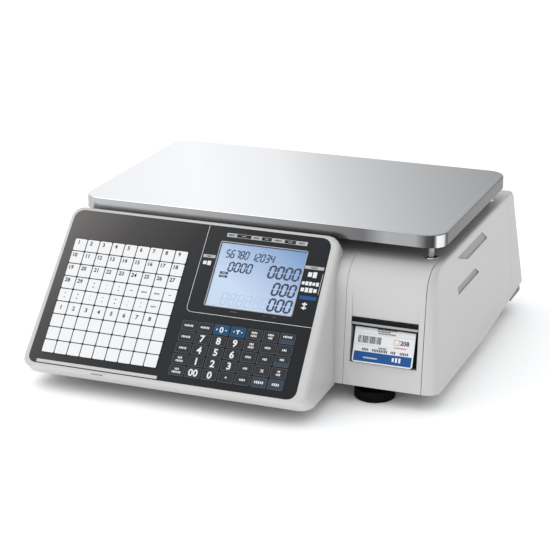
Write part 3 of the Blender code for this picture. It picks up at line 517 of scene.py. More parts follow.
def line(form, points, width, level, look=0):
    """A printed line of constant width through points."""
    for (ax, ay), (bx, by) in zip(points, points[1:]):
        length = math.hypot(bx - ax, by - ay)
        ux, uy = (bx - ax) / length * width / 2, (by - ay) / length * width / 2
        first = [(ax - ux - uy, ay - uy + ux), (bx + ux - uy, by + uy + ux)]
        second = [(bx + ux + uy, by + uy - ux), (ax - ux + uy, ay - uy - ux)]
        form.lay(first + second, level, look)


def circle(place, x, y, radius, level, count):
    """A ring of points about x and y in a frame of reference."""
    turns = [2 * math.pi * k / count for k in range(count)]
    return [place(x + radius * math.cos(turn), y + radius * math.sin(turn), level) for turn in turns]


GLYPHS = {}


def glyph_mesh(text):
    """The outline of some digits or signs, one unit high, centred."""
    if text in GLYPHS:
        return GLYPHS[text]
    curve = bpy.data.curves.new("glyph", "FONT")
    curve.body = text
    curve.offset = 0.028
    curve.resolution_u = 3
    obj = add_object("glyph", curve)
    graph = bpy.context.evaluated_depsgraph_get()
    mesh = bpy.data.meshes.new_from_object(obj.evaluated_get(graph))
    bpy.data.objects.remove(obj, do_unlink=True)
    bpy.data.curves.remove(curve)
    xs = [v.co.x for v in mesh.vertices]
    ys = [v.co.y for v in mesh.vertices]
    shift_x, shift_y, tall = (min(xs) + max(xs)) / 2, (min(ys) + max(ys)) / 2, 0.70
    points = [((x - shift_x) / tall, (y - shift_y) / tall) for x, y in zip(xs, ys)]
    GLYPHS[text] = [[points[i] for i in face.vertices] for face in mesh.polygons]
    bpy.data.meshes.remove(mesh)
    return GLYPHS[text]


def stamp(form, text, x, down, height, level, look=0):
    """Prints digits or signs."""
    for points in glyph_mesh(text):
        form.lay([(x + gx * height, down - gy * height) for gx, gy in points], level, look)


def word(form, count, x, down, height, level, look=0, pitch=None, fill=0.62):
    """A line of plain blocks where small print would be."""
    pitch = pitch or height * 0.72
    for k in range(count):
        left = x + (k - count / 2) * pitch
        tall = height * (1.0 if k % 3 else 0.8)
        patch(form, (left, left + pitch * fill, down - tall / 2, down + tall / 2), level, look)


BARS = {  # the two ends of each bar, in half widths and half heights from the middle
    "a": (-1, -1, 1, -1), "b": (1, -1, 1, 0), "c": (1, 0, 1, 1), "d": (-1, 1, 1, 1),
    "e": (-1, 0, -1, 1), "f": (-1, -1, -1, 0), "g": (-1, 0, 1, 0),
}
BARS_OF_DIGIT = ("abcdef", "bc", "abdeg", "abcdg", "bcfg", "acdfg", "acdefg", "abc", "abcdefg", "abcdfg")


def segment_digit(form, digit, x, down, wide, tall, stroke, level, look=0, slant=0.12):
    """A slanted digit of seven bars, its middle at x and down."""
    gap = stroke * 0.04
    for bar in BARS_OF_DIGIT[int(digit)]:
        ax, ay, bx, by = (share * half for share, half in zip(BARS[bar], (wide / 2, tall / 2) * 2))
        length = math.hypot(bx - ax, by - ay)
        ux, uy = (bx - ax) / length, (by - ay) / length
        s = stroke / 2
        tip = gap + s * 0.75
        points = [
            (ax + ux * gap, ay + uy * gap),
            (ax + ux * tip - uy * s, ay + uy * tip + ux * s),
            (bx - ux * tip - uy * s, by - uy * tip + ux * s),
            (bx - ux * gap, by - uy * gap),
            (bx - ux * tip + uy * s, by - uy * tip - ux * s),
            (ax + ux * tip + uy * s, ay + uy * tip - ux * s),
        ]
        form.lay([(x + (px - py * slant), down + py) for px, py in points], level, look)


def segment_row(form, digits, right, down, pitch, wide, tall, stroke, level, look=0):
    for k, digit in enumerate(reversed(digits)):
        x = right - wide / 2 - k * pitch
        segment_digit(form, digit, x, down, wide, tall, stroke, level, look)


# CAD surfaces, with their facets merged into smooth curves


def skin(node, look=None, bevel=0.0):
    """A copy of the node's surface with its curves smoothed and, if asked, its edges rounded."""
    source = NODES[node]
    shape = bmesh.new()
    shape.from_mesh(source.data)
    bmesh.ops.remove_doubles(shape, verts=shape.verts[:], dist=0.004 * MM)
    bmesh.ops.dissolve_limit(
        shape, angle_limit=math.radians(0.6), verts=shape.verts[:], edges=shape.edges[:]
    )
    mesh = bpy.data.meshes.new(node + "_skin")
    shape.to_mesh(mesh)
    shape.free()
    slot = SLOT_OF[node]
    mesh.materials.append(look or LOOKS[slot])
    mesh.shade_smooth()
    mesh.set_sharp_from_angle(angle=math.radians(32.0))
    obj = add_object(node + "_skin", mesh)
    if bevel:
        rounding = obj.modifiers.new("Rounding", "BEVEL")
        rounding.width = bevel
        rounding.segments = 2
        rounding.limit_method = "ANGLE"
        rounding.angle_limit = math.radians(38)
        rounding.use_clamp_overlap = True
    even = obj.modifiers.new("Even", "WEIGHTED_NORMAL")
    even.keep_sharp = True
    even.weight = 80
    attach(obj, source["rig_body"])
    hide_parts(node)
    return obj


def door():
    """The side door, its two finger grips painted a darker grey as the shade in their recesses, and
    rougher.
    """
    obj = skin("printer_door", bevel=0.35 * MM)
    obj.data.materials.append(GRIP_PAINTED_SHADE)
    for face in obj.data.polygons:
        upper = 119 * MM < face.center.z < 128 * MM
        lower = 93 * MM < face.center.z < 99 * MM
        near = abs(face.center.y) < 75 * MM
        if face.normal.x > 0.8 and (upper or lower) and near and 2e-4 < face.area < 1.4e-3:
            face.material_index = 1


def platter():
    """The tray's top and its skirt each have their own steel with a painted reflection; its underside and
    inner faces are painted dark as shade.
    """
    obj = skin("platter", TOP_PAINTED_REFLECTION)
    obj.data.materials.append(SKIRT_PAINTED_REFLECTION)
    obj.data.materials.append(UNDER_PAINTED_SHADE)
    low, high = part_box("platter")
    centre = (low + high) / 2
    for face in obj.data.polygons:
        # Downward and inner faces take the painted shade, the other sides the skirt's painted reflection.
        outward = face.normal.x * (face.center.x - centre.x) + face.normal.y * (face.center.y - centre.y)
        if face.normal.z < -0.3 or (abs(face.normal.z) < 0.3 and outward < 0):
            face.material_index = 2
        elif abs(face.normal.z) < 0.3 or face.center.z < high.z - 1.6 * MM:
            face.material_index = 1


SMOOTHED = (
    "platter_spider", *PADS, "platen_roller", "platen_pulley", "label_roll", "roll_core", "take_up_spool",
    "printer_frame", "stepper_motor", "motor_pulley", "drive_belt", "head_bracket", "head_release_lever",
    "peel_bar", "door_hinge_rod", "bubble_level", "load_cell", "load_cell_top_block", "power_inlet",
    "port_block",
)


def dress_nodes():
    """Gives every CAD node its detailed material, and smooths the curved ones."""
    for node, obj in NODES.items():
        obj.material_slots[0].material = LOOKS[SLOT_OF[node]]
    for node in ("upper_housing", "printer_front_cover"):
        skin(node, bevel=0.35 * MM)
    door()
    platter()
    # The base is shown in dark grey, painted shade.
    skin("base_housing", BASE_PAINTED_SHADE)
    skin("console_overlay", OVERLAY_PAINTED_SHEEN)
    for node in SMOOTHED:
        skin(node)


# The operator console


def key_layout():
    zero, last = middle("key_zero"), middle("key_print")
    pitch_x = (last.x - zero.x) / 3
    pitch_down = (down_of(last) - down_of(zero)) / 4
    return zero.x - 2 * pitch_x, down_of(zero), pitch_x, pitch_down


KEY_X, KEY_DOWN, PITCH_X, PITCH_DOWN = key_layout()
MOVING = {
    "key_zero": (2, 0), "key_tare": (3, 0), "key_print": (5, 4),
    "key_7": (1, 1), "key_8": (2, 1), "key_9": (3, 1), "key_4": (1, 2), "key_5": (2, 2), "key_6": (3, 2),
    "key_1": (1, 3), "key_2": (2, 3), "key_3": (3, 3),
    "key_double_zero": (1, 4), "key_0": (2, 4), "key_point": (3, 4),
}
DIGITS = {"key_double_zero": "00", "key_point": "."}
WORDS = {
    (0, 0): (6,), (1, 0): (6,), (4, 0): (4, 4), (5, 0): (4, 3), (6, 0): (6,),
    (0, 1): (6,), (4, 1): (3, 4), (5, 1): (4,), (6, 1): (3,),
    (0, 2): (5,), (4, 2): (4,), (5, 2): (3,), (6, 2): (3,),
    (0, 3): (3, 5), (4, 3): (3,), (6, 3): (2, 3),
    (0, 4): (3, 6), (4, 4): (4,), (5, 4): (5,), (6, 4): (4,),
}
NAVY_KEYS = ((5, 4), (6, 4))
HALF_BLUE_KEYS = ((6, 0), (6, 2))
LEVEL = KEY_HEIGHT + INK


def key_spot(column, row):
    return KEY_X + column * PITCH_X, KEY_DOWN + row * PITCH_DOWN


def key_area(column, row):
    x, down = key_spot(column, row)
    return around(x, down, KEY_SIZE[0] / 2, KEY_SIZE[1] / 2)


def key_body(form, column, row, bottom, looks=(0, 1)):
    """The key's cap, with the looks of its top and of its rim; the rim's look is a painted highlight."""
    cap(form, key_area(column, row), 1.1 * MM, bottom, KEY_HEIGHT, 0.2 * MM, *looks, inner=0.22 * MM)


def key_words(form, column, row, look):
    x, down = key_spot(column, row)
    lines = WORDS.get((column, row), ())
    start = down - (1.6 * MM if len(lines) == 2 else 0.0)
    if (column, row) in HALF_BLUE_KEYS:
        start = down - 1.9 * MM
    for k, count in enumerate(lines):
        bold = 2.7 * MM if (column, row) in NAVY_KEYS else 2.2 * MM
        word(form, count, x, start + k * 3.2 * MM, bold, LEVEL, look)


def zero_mark(form, x, down, look):
    stamp(form, "0", x, down, 5.6 * MM, LEVEL, look)
    for side in (-1, 1):
        tip = x + side * 3.6 * MM
        points = [
            (tip, down), (tip + side * 1.7 * MM, down - 1.1 * MM), (tip + side * 1.7 * MM, down + 1.1 * MM)
        ]
        form.lay(points, LEVEL, look)


def tare_mark(form, x, down, look):
    """A tray between two dots."""
    patch(form, (x - 2.0 * MM, x + 2.0 * MM, down - 2.0 * MM, down - 0.9 * MM), LEVEL, look)
    patch(form, (x - 0.6 * MM, x + 0.6 * MM, down - 0.9 * MM, down + 2.2 * MM), LEVEL, look)
    for side in (-1, 1):
        patch(form, around(x + side * 4.0 * MM, down, 0.7 * MM), LEVEL, look, 0.6 * MM)


def moving_keys():
    for name, (column, row) in MOVING.items():
        blue = name in ("key_zero", "key_tare")
        navy = (column, row) in NAVY_KEYS
        top = LOOKS["key_blue"] if blue else KEY_NAVY if navy else LOOKS["key_grey"]
        rim = KEY_NAVY_RIM_HIGHLIGHT if navy or blue else KEY_RIM_HIGHLIGHT
        form = Form(name + "_cap", top, rim, INK_WHITE)
        key_body(form, column, row, -KEY_DEPTH)
        x, down = key_spot(column, row)
        if name == "key_zero":
            zero_mark(form, x, down, 2)
        elif name == "key_tare":
            tare_mark(form, x, down, 2)
        elif name == "key_print":
            key_words(form, column, row, 2)
        elif name == "key_point":
            patch(form, around(x, down, 0.9 * MM), LEVEL, 2, 0.8 * MM)
        else:
            stamp(form, DIGITS.get(name, name[-1]), x, down, 6.8 * MM, LEVEL, 2)
        obj = form.make(name)
        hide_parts(name)


def printed_keys():
    """The keys of the film that have no travel of their own."""
    form = Form("printed_keys", LOOKS["key_grey"], KEY_RIM_HIGHLIGHT, INK_WHITE, KEY_TEAL, KEY_NAVY, KEY_NAVY_RIM_HIGHLIGHT)
    taken = set(MOVING.values())
    for row in range(5):
        for column in range(7):
            if (column, row) in taken:
                continue
            looks = (4, 5) if (column, row) in NAVY_KEYS else (0, 1)
            key_body(form, column, row, 0.02 * MM, looks)
            if (column, row) in HALF_BLUE_KEYS:
                x, down = key_spot(column, row)
                area = (x - 7.1 * MM, x + 7.1 * MM, down + 0.8 * MM, down + 4.7 * MM)
                patch(form, area, KEY_HEIGHT + 0.02 * MM, 3, 0.8 * MM)
            key_words(form, column, row, 2)
    x, down = key_spot(5, 3)
    for lean in (1, -1):
        ends = [(x - 1.3 * MM, down - lean * 1.3 * MM), (x + 1.3 * MM, down + lean * 1.3 * MM)]
        line(form, ends, 0.7 * MM, LEVEL, 2)
    form.make("chassis")


def key_bed():
    """The darker field behind the keys, laid as thin lines between them, clear of the moving ones."""
    form = Form("key_bed", KEY_BED)
    left, right = KEY_X - 0.62 * PITCH_X, KEY_X + 6.62 * PITCH_X
    start, end = KEY_DOWN - 0.5 * PITCH_DOWN, KEY_DOWN + 4.5 * PITCH_DOWN
    half = 0.62 * MM
    for row in range(6):
        down = KEY_DOWN + (row - 0.5) * PITCH_DOWN
        patch(form, (left, right, down - half, down + half), 0.03 * MM)
    for column in range(8):
        x = KEY_X + (column - 0.5) * PITCH_X
        patch(form, (x - half, x + half, start, end), 0.025 * MM)
    form.make("chassis")


def preset_keys():
    left, right, low, high = panel_span("preset_key_sheet", SHEET_BOTTOM, SHEET_TOP)
    pitch_x, pitch_down = (right - left) / 9, (high - low) / 9
    form = Form("preset_keys", LOOKS["preset_sheet"], LOOKS["preset_sheet"], KEY_BED, INK_BLACK)
    cap(form, (left, right, low, high), 0.9 * MM, SHEET_BOTTOM, *mm(0.45, 0.1), 2)
    number = 0
    for row in range(9):
        for column in range(9):
            x, down = left + (column + 0.5) * pitch_x, low + (row + 0.5) * pitch_down
            area = around(x, down, pitch_x / 2 - 0.5 * MM, pitch_down / 2 - 0.5 * MM)
            cap(form, area, *mm(1.0, 0.45), SHEET_TOP, 0.15 * MM, 0, 1)
            number += 1
            preset_mark(form, row, column, number, x, down)
    obj = form.make("chassis")
    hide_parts("preset_key_sheet")


def preset_mark(form, row, column, number, x, down):
    """Small numbers and signs in place of the key legends."""
    level = SHEET_TOP + INK
    if row < 3 or (row == 3 and column < 2):
        stamp(form, str(number), x - 2.0 * MM, down - 2.6 * MM, 4.0 * MM, level, 3)
    elif row == 3 and column in (6, 7):
        word(form, 5, x, down, 1.7 * MM, level, 3)
    elif row == 3 and column in (5, 8):
        patch(form, around(x, down, *mm(1.6, 0.3)), level, 3)
    elif row == 4 and column == 7:
        word(form, 5, x, down, 1.6 * MM, level, 3)
    elif row in (3, 4) and column < 8:
        for lift in mm(-2.3, 2.0):
            half = 0.35 * MM + 0.12 * MM * ((column + row) % 3)
            patch(form, around(x, down + lift, half), level, 3)
    elif row == 5 and column < 8:
        stamp(form, str(column + 1), x, down - 0.6 * MM, 4.2 * MM, level, 3)


def display_frame():
    """The white line that parts the display field from the rest of the film."""
    x, foot, radius = -43.9 * MM, 93.0 * MM, 5.5 * MM
    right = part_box("console_overlay")[1].x - 1.2 * MM
    points = [(x, 0.6 * MM), (x - 0.4 * MM, foot - radius)]
    for k in range(1, 6):
        angle = math.pi - math.pi / 2 * k / 5
        points.append(
            (x - 0.4 * MM + radius + radius * math.cos(angle), foot - radius + radius * math.sin(angle))
        )
    return points + [(right, foot)]


PRINTED_BOXES = (
    # left, right, low and high edges and corner radius in mm, then layer and look
    (-42.3, -29.4, 31.4, 34.6, 0.3, 1, 1),
    (63.9, 83.3, 30.3, 33.6, 0.3, 1, 1),
    (66.0, 83.0, 61.6, 65.4, 0.3, 1, 4),
    (70.4, 75.4, 69.4, 70.8, 0.0, 1, 0),
    (70.4, 75.4, 73.4, 74.8, 0.0, 1, 0),
    (72.2, 73.6, 68.4, 75.8, 0.0, 2, 0),
)
PRINTED_WORDS = (
    # number of blocks, x, distance down, height and pitch in mm, then how full, layer and look
    (4, -35.9, 33.0, 1.5, 0.0, 0.62, 2, 3),
    (2, -36.0, 40.2, 4.6, 4.6, 0.8, 1, 0),
    (6, 73.6, 31.9, 1.5, 0.0, 0.62, 2, 3),
    (2, 73.8, 39.2, 6.0, 5.0, 0.8, 1, 0),
    (5, 73.8, 48.6, 4.0, 3.6, 0.78, 1, 0),
    (4, 73.8, 55.4, 4.8, 4.3, 0.78, 1, 0),
    (8, 4.5, 87.6, 1.3, 0.0, 0.62, 1, 2),
    (3, 36.0, 87.4, 1.2, 0.0, 0.62, 1, 2),
    (5, 46.5, 87.4, 1.2, 0.0, 0.62, 1, 2),
)
STATUS_CUTS = (-23.6, -13.5, 2.2, 12.7, 23.7, 36.6, 48.8, 60.5)


def overlay_print():
    form = Form("overlay_print", INK_WHITE, INK_GREY, INK_FAINT, INK_BLACK, INK_BLUE)
    line(form, display_frame(), 0.42 * MM, INK, 0)
    patch(form, mm(STATUS_CUTS[0], STATUS_CUTS[-1], 6.1, 10.3), INK, 1)
    for k, (start, end) in enumerate(zip(STATUS_CUTS, STATUS_CUTS[1:])):
        dark = k % 2 == 1
        if dark:
            patch(form, mm(start + 0.3, end - 0.3, 6.5, 9.9), 2 * INK, 3)
        count, tall, look = 5 if end - start < 12 else 6, 1.1 if dark else 1.7, 1 if dark else 3
        word(form, count, (start + end) / 2 * MM, 8.2 * MM, tall * MM, 3 * INK, look)
    for *area, radius, layer, look in PRINTED_BOXES:
        patch(form, mm(*area), layer * INK, look, radius * MM)
    for count, x, down, tall, pitch, fill, layer, look in PRINTED_WORDS:
        word(form, count, x * MM, down * MM, tall * MM, layer * INK, look, pitch * MM, fill)
    line(form, [mm(83.6, 37.5), mm(83.6, 58.8)], 0.35 * MM, INK, 0)
    form.make("chassis")


def sheet_slot():
    """The light channel along the film's lower edge where the preset sheet slides in, with its pull tab and
    the tab's painted shadow.
    """
    form = Form("sheet_slot", LOOKS["housing_plastic"], LOOKS["preset_sheet"], KEY_BED)
    cap(form, mm(-184.2, -54.6, 162.9, 166.1), *mm(0.5, 0.01, 0.5, 0.2), 0)
    patch(form, mm(-183.0, -55.6, 162.5, 163.0), 0.04 * MM, 2)
    cap(form, mm(-124.4, -109.4, 167.1, 170.2), *mm(1.4, -0.4, 0.4, 0.4), 0)
    # A dark strip just below the pull tab: its painted shadow.
    patch(form, mm(-123.0, -110.8, 170.2, 170.8), 0.02 * MM, 2)
    form.make("chassis")


def lcd_screen():
    module = panel_span("lcd_module", *mm(-11.0, -1.8))
    left, right, low, high = module
    form = Form("lcd_screen", LOOKS["lcd"], BEZEL, LOOKS["board"], LOOKS["black_plastic"])
    cap(form, module, *mm(1.0, -7.0, -2.4, 0.3), 3)
    board = (left + MM, right - MM, low + MM, high - MM)
    cap(form, board, *mm(0.5, -11.0, -9.4, 0.1), 2)
    centre = (low + high) / 2
    for k in range(5):
        x = left + (0.12 + 0.18 * k) * (right - left)
        chip = (x, x + 8 * MM, centre, centre + 14 * MM)
        cap(form, chip, *mm(0.4, -9.4, -7.0, 0.2), 3)
    glass = panel_span("display_window", -WINDOW_BACK, -WINDOW_FRONT)
    cap(form, glass, *mm(0.8, -2.4, -1.75, 0.25), 0, 1)
    obj = form.make("chassis")
    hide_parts("lcd_module")


# Each kind of digit: pitch, width, height and stroke
SMALL_DIGIT = mm(4.9, 3.2, 7.8, 1.3)
MIDDLE_DIGIT = mm(6.4, 4.2, 9.2, 1.65)
LARGE_DIGIT = mm(8.4, 5.5, 12.0, 2.15)
FAINT_DIGIT = mm(8.4, 5.4, 12.0, 0.9)
LCD_ROWS = (
    # the digits, the row's right end and distance down in mm, the kind of digit and its look
    ("12034", 30.2, 27.8, SMALL_DIGIT, 0),
    ("56780", 3.4, 27.2, SMALL_DIGIT, 0),
    ("0000", 10.0, 40.6, MIDDLE_DIGIT, 0),
    ("0000", 59.6, 40.8, LARGE_DIGIT, 0),
    ("000", 59.4, 58.2, LARGE_DIGIT, 0),
    ("000", 59.2, 74.6, LARGE_DIGIT, 0),
    ("888888", 35.2, 74.6, FAINT_DIGIT, 1),
)


def lcd_digits():
    level = -1.7 * MM
    form = Form("lcd_digits", SEGMENT_ON, SEGMENT_OFF)
    for digits, right, down, size, look in LCD_ROWS:
        segment_row(form, digits, right * MM, down * MM, *size, level, look)
    for row in mm(47.9, 51.5):
        patch(form, (-21.4 * MM, -12.6 * MM, row - 1.3 * MM, row + 1.3 * MM), level, 0, 0.4 * MM)
        word(form, 5, -17.0 * MM, row, 1.2 * MM, level + INK, 1)
    form.make("chassis")


def lcd_frame():
    """The thin raised rim round the window, pale where it catches the light."""
    left, right, low, high = panel_span("display_window", -WINDOW_BACK, -WINDOW_FRONT)
    form = Form("display_rim", BEZEL, LOOKS["black_plastic"])
    steps = ((0.0, -1.1), (0.1, 0.02), (0.45, 0.22), (0.9, 0.22), (1.2, 0.02))
    rings = []
    for out, height in steps:
        rings.append(
            [on_panel(a, b, height * MM) for a, b in rounded(left, right, low, high, 0.9 * MM, -out * MM)]
        )
    form.tube(rings, [1, 0, 0, 1], caps=False)
    form.make("chassis")


# Rear display, printer label, feet and fittings


def rear_display():
    low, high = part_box("rear_lcd_module")
    bottom, top = 84.5 * MM, 111.5 * MM
    form = Form("rear_screen", LOOKS["lcd"], BEZEL, LOOKS["board"], place=on_rear)
    cap(form, (low.x, high.x, bottom, top), *mm(0.8, -10.0, -8.6, 0.1), 2)
    cap(form, (low.x + MM, high.x - MM, bottom + MM, top - MM), *mm(0.8, -8.6, -3.2, 0.4), 0, 1)
    obj = form.make("chassis")
    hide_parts("rear_lcd_module")

    def mirrored(x, down, level):
        return on_rear(-x, (bottom + top) - down, level)

    marks = Form("rear_digits", SEGMENT_ON, place=mirrored)
    for k in range(3):
        digits, right = "0000" if k else "000", (-25.0 + 41.0 * k) * MM
        segment_row(marks, digits, right, 98.0 * MM, *mm(8.6, 5.4, 12.0, 1.3), -3.15 * MM)
    marks.make("chassis")


def label_place():
    """The label's own frame: x across it, distance down it, and height above it, along its curl."""
    low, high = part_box("label_strip")
    top = Vector((0.0, high.y - 0.4 * MM, high.z))
    foot = Vector((0.0, low.y - 6.0 * MM, low.z + 0.2 * MM))
    bends = ((0.0, 0.0), (0.09, 0.176), (0.258, 0.318), (0.596, 0.588), (1.0, 1.0))
    path = [Vector((0.0, top.y + (foot.y - top.y) * b, top.z + (foot.z - top.z) * a)) for a, b in bends]
    lengths = [0.0]
    for near, far in zip(path, path[1:]):
        lengths.append(lengths[-1] + (far - near).length)
    centre = (low.x + high.x) / 2

    def place(x, down, level):
        down = min(max(down, 0.0), lengths[-1])
        k = max(i for i in range(len(path) - 1) if lengths[i] <= down + 1e-9)
        along = path[k + 1] - path[k]
        point = path[k] + along * ((down - lengths[k]) / (lengths[k + 1] - lengths[k]))
        out = Vector((0.0, along.z, -along.y)).normalized()
        return Vector((centre + x, 0.0, 0.0)) + point + out * level

    return place, (high.x - low.x) / 2 + 1.4 * MM, lengths


def slot_liner():
    """A dark sheet at the back of the label's recess, painted shade."""
    low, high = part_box("label_strip")
    bar_low, bar_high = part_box("peel_bar")
    left, right = bar_low.x - 0.1 * MM, bar_high.x + 0.1 * MM
    top = (high.y + 4.7 * MM, bar_high.z + 1.9 * MM)
    bend = (high.y + 4.7 * MM, high.z - 0.2 * MM)
    foot = (low.y + 2.3 * MM, low.z - 1.9 * MM)
    form = Form("slot_liner", SLOT_PAINTED_SHADE)
    rings = [
        [
            flat(x, y + shift, z) for x,
            shift in ((left, 0.0), (right, 0.0), (right, -0.25 * MM), (left, -0.25 * MM))
        ]
        for y, z in (top, bend, foot)
    ]
    form.tube(rings, 0)
    form.make("chassis")


def tear_edge():
    """The steel edge at the mouth of the label slot on a dark backing, whose bands above and below it are
    painted shade, with fine teeth below.
    """
    bar_low, bar_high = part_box("peel_bar")
    left, right = bar_low.x + 0.1 * MM, bar_high.x - 0.1 * MM
    front = bar_low.y - 5.2 * MM

    def upright(x, z, out):
        return Vector((x, front - out, z))

    form = Form("tear_edge", SLOT_PAINTED_SHADE, TEAR_STEEL, place=upright)
    foot = bar_low.z - 2.0 * MM
    # The dark backing shows above and below the steel as painted shade.
    cap(form, (left, right, foot - 0.6 * MM, bar_high.z + 1.2 * MM), 0.3 * MM, 0.0, *mm(0.5, 0.15), 0)
    cap(form, (left, right, foot + 1.5 * MM, foot + 4.1 * MM), *mm(0.5, 0.4, 1.5, 0.8), 1)
    teeth = 44
    pitch = (right - left - 2 * MM) / teeth
    for k in range(teeth):
        x = left + MM + k * pitch
        tooth = [(x, foot + 1.7 * MM), (x + pitch, foot + 1.7 * MM), (x + pitch / 2, foot + 1.0 * MM)]
        form.lay(tooth, 0.75 * MM, 1)
    form.make("chassis")


def strip_patch(form, area, level, look):
    """A print patch cut into short bands, so that it follows the curl."""
    left, right, start, end = area
    bands = max(1, math.ceil((end - start) / (2.0 * MM)))
    for k in range(bands):
        a, b = start + (end - start) * k / bands, start + (end - start) * (k + 1) / bands
        form.lay([(left, a), (right, a), (right, b), (left, b)], level, look)


def label():
    place, half, lengths = label_place()
    total = lengths[-1]
    form = Form("label", LABEL_SHEET, INK_BLACK, INK_BLUE, INK_RED, INK_GREY, place=place)
    rings = []
    for k in range(25):
        down = total * k / 24
        trim = max(0.0, 2.0 * MM - (total - down))
        inset = 2.0 * MM - math.sqrt(max(0.0, (2.0 * MM) ** 2 - trim**2))
        left, right = -half + inset, half - inset
        corners = ((left, 0), (right, 0), (right, -0.3 * MM), (left, -0.3 * MM))
        rings.append([place(x, down, level) for x, level in corners])
    form.tube(rings, 0)
    ink = 0.06 * MM
    for k, count in enumerate((15, 19, 13, 17)):
        word(form, count, (-1.0 + 3.0 * (k % 2)) * MM, (2.8 + 1.9 * k) * MM, 1.45 * MM, ink, 1)
    strip_patch(form, (-half + 1.5 * MM, half - 1.5 * MM, *mm(9.9, 10.15)), ink, 4)
    widths = (0.5, 0.3, 0.8, 0.3, 0.4, 0.9, 0.3, 0.6)
    x = -half + 4.0 * MM
    for k in range(26):
        wide = widths[k % len(widths)] * MM
        strip_patch(form, (x, x + wide, *mm(12.3, 19.2)), ink, 1)
        x += wide + widths[(k * 3 + 1) % len(widths)] * 0.8 * MM
    strip_patch(form, (-half + 1.5 * MM, *mm(6.0, 21.0, 21.25)), ink, 4)
    box = (
        (9.5, 15.0, 12.4, 12.8), (9.5, 15.0, 17.4, 17.8), (9.5, 9.9, 12.4, 17.8), (14.6, 15.0, 12.4, 17.8)
    )
    for edge in box:
        strip_patch(form, mm(*edge), ink, 3)
    stamp(form, "208", *mm(20.4, 15.2, 4.2), ink, 1)
    word(form, 12, *mm(16.5, 20.3, 1.5), ink, 3)
    word(form, 7, *mm(-1.0, 22.8, 1.7), ink, 1)
    for x, count in ((-18.0, 4), (-3.5, 9), (10.0, 3), (21.0, 5)):
        word(form, count, x * MM, *mm(25.4, 2.7), ink, 1, 1.75 * MM)
    strip_patch(form, (-half + 1.4 * MM, half - 1.4 * MM, 27.6 * MM, total - 1.4 * MM), ink, 2)
    word(form, 14, *mm(-12.0, 33.2, 1.4), 2 * ink, 0)
    word(form, 3, *mm(14.5, 32.0, 4.6), 2 * ink, 0)
    obj = form.make("chassis")
    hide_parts("label_strip")


def foot_detail(node):
    """A levelling foot: knurled rubber disc, chamfered collar and threaded stem."""
    low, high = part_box(node)
    centre, radius = (low + high) / 2, (high.x - low.x) / 2
    count = 96
    profile = (
        (0.80, 0.0), (0.93, 0.0), (0.985, 0.7), (1.0, 1.6), (1.0, 9.4), (0.97, 10.8), (0.90, 11.4),
        (0.46, 11.5), (0.42, 12.0), (0.42, 16.6), (0.39, 17.2), (0.20, 17.3),
    )
    form = Form(node + "_detail", LOOKS["rubber"], LOOKS["black_plastic"])
    rings = []
    for share, height in profile:
        ring = []
        for k in range(count):
            angle = 2 * math.pi * k / count
            knurl = 0.975 if 1.0 <= height <= 9.5 and k % 4 < 2 else 1.0
            reach = radius * share * knurl
            x, y = centre.x + reach * math.cos(angle), centre.y + reach * math.sin(angle)
            ring.append(Vector((x, y, height * MM)))
        rings.append(ring)
    thread, turns = 17.3 * MM, 6
    z = thread
    while z < high.z - 0.2 * MM:
        for reach in mm(4.0, 3.4):
            rings.append(circle(flat, centre.x, centre.y, reach, z, count))
            z = min(z + (high.z - thread) / turns / 2, high.z)
    form.tube(rings, [0] * 7 + [1] * (len(rings) - 8))
    obj = form.make(node, 40.0)
    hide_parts(node)


def ring_of(form, x, y, profile, base, look=0, count=32):
    """A turned ring about a vertical axis, from radii and heights above the base in mm."""
    rings = [circle(flat, x, y, radius * MM, base + rise * MM, count) for radius, rise in profile]
    rings.append(rings[0])
    form.tube(rings, look, caps=False)


def post_bushings():
    """Bright rings where the platter's posts pass through the body."""
    form = Form("post_bushings", LOOKS["bright_steel"])
    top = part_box("printer_front_cover")[1].z
    profile = ((4.6, -2.0), (6.3, -2.0), (6.9, 0.1), (6.6, 0.6), (5.2, 0.7), (4.6, 0.0))
    for node in PADS:
        spot = middle(node)
        ring_of(form, spot.x, spot.y, profile, top)
    form.make("chassis")


def screw(form, a, b, radius=2.6 * MM):
    """A domed screw head standing on a wall, its cross recess a flat dark cross of painted shade."""
    dome = ((1.0, 0.0), (1.0, 0.5), (0.86, 0.95), (0.55, 1.25))
    form.tube([circle(form.place, a, b, radius * share, height * MM, 20) for share, height in dome], 0)
    for wide, tall in (mm(1.6, 0.45), mm(0.45, 1.6)):
        patch(form, around(a, b, wide, tall), 1.3 * MM, 1)


def rear_fittings():
    form = Form("rear_fittings", LOOKS["bright_steel"], RECESS_PAINTED_SHADE, place=on_rear)
    for x, z in ((-170, 48), (-30, 48), (30, 48), (150, 48), (-150, 100), (150, 100)):
        screw(form, x * MM, z * MM)
    # Twelve slots drawn as flat near-black patches on the rear wall: painted shade.
    for k in range(12):
        x = (-10 - 5.5 * k) * MM
        patch(form, (x - MM, x + MM, *mm(60, 74)), 0.05 * MM, 1, 0.9 * MM)
    form.make("chassis")


def deck_height(node):
    """The height of the node's largest upward face."""
    faces = [face for face in NODES[node].data.polygons if face.normal.z > 0.9]
    totals = {}
    for face in faces:
        level = round(face.center.z, 4)
        totals[level] = totals.get(level, 0.0) + face.area
    return max(totals, key=totals.get)


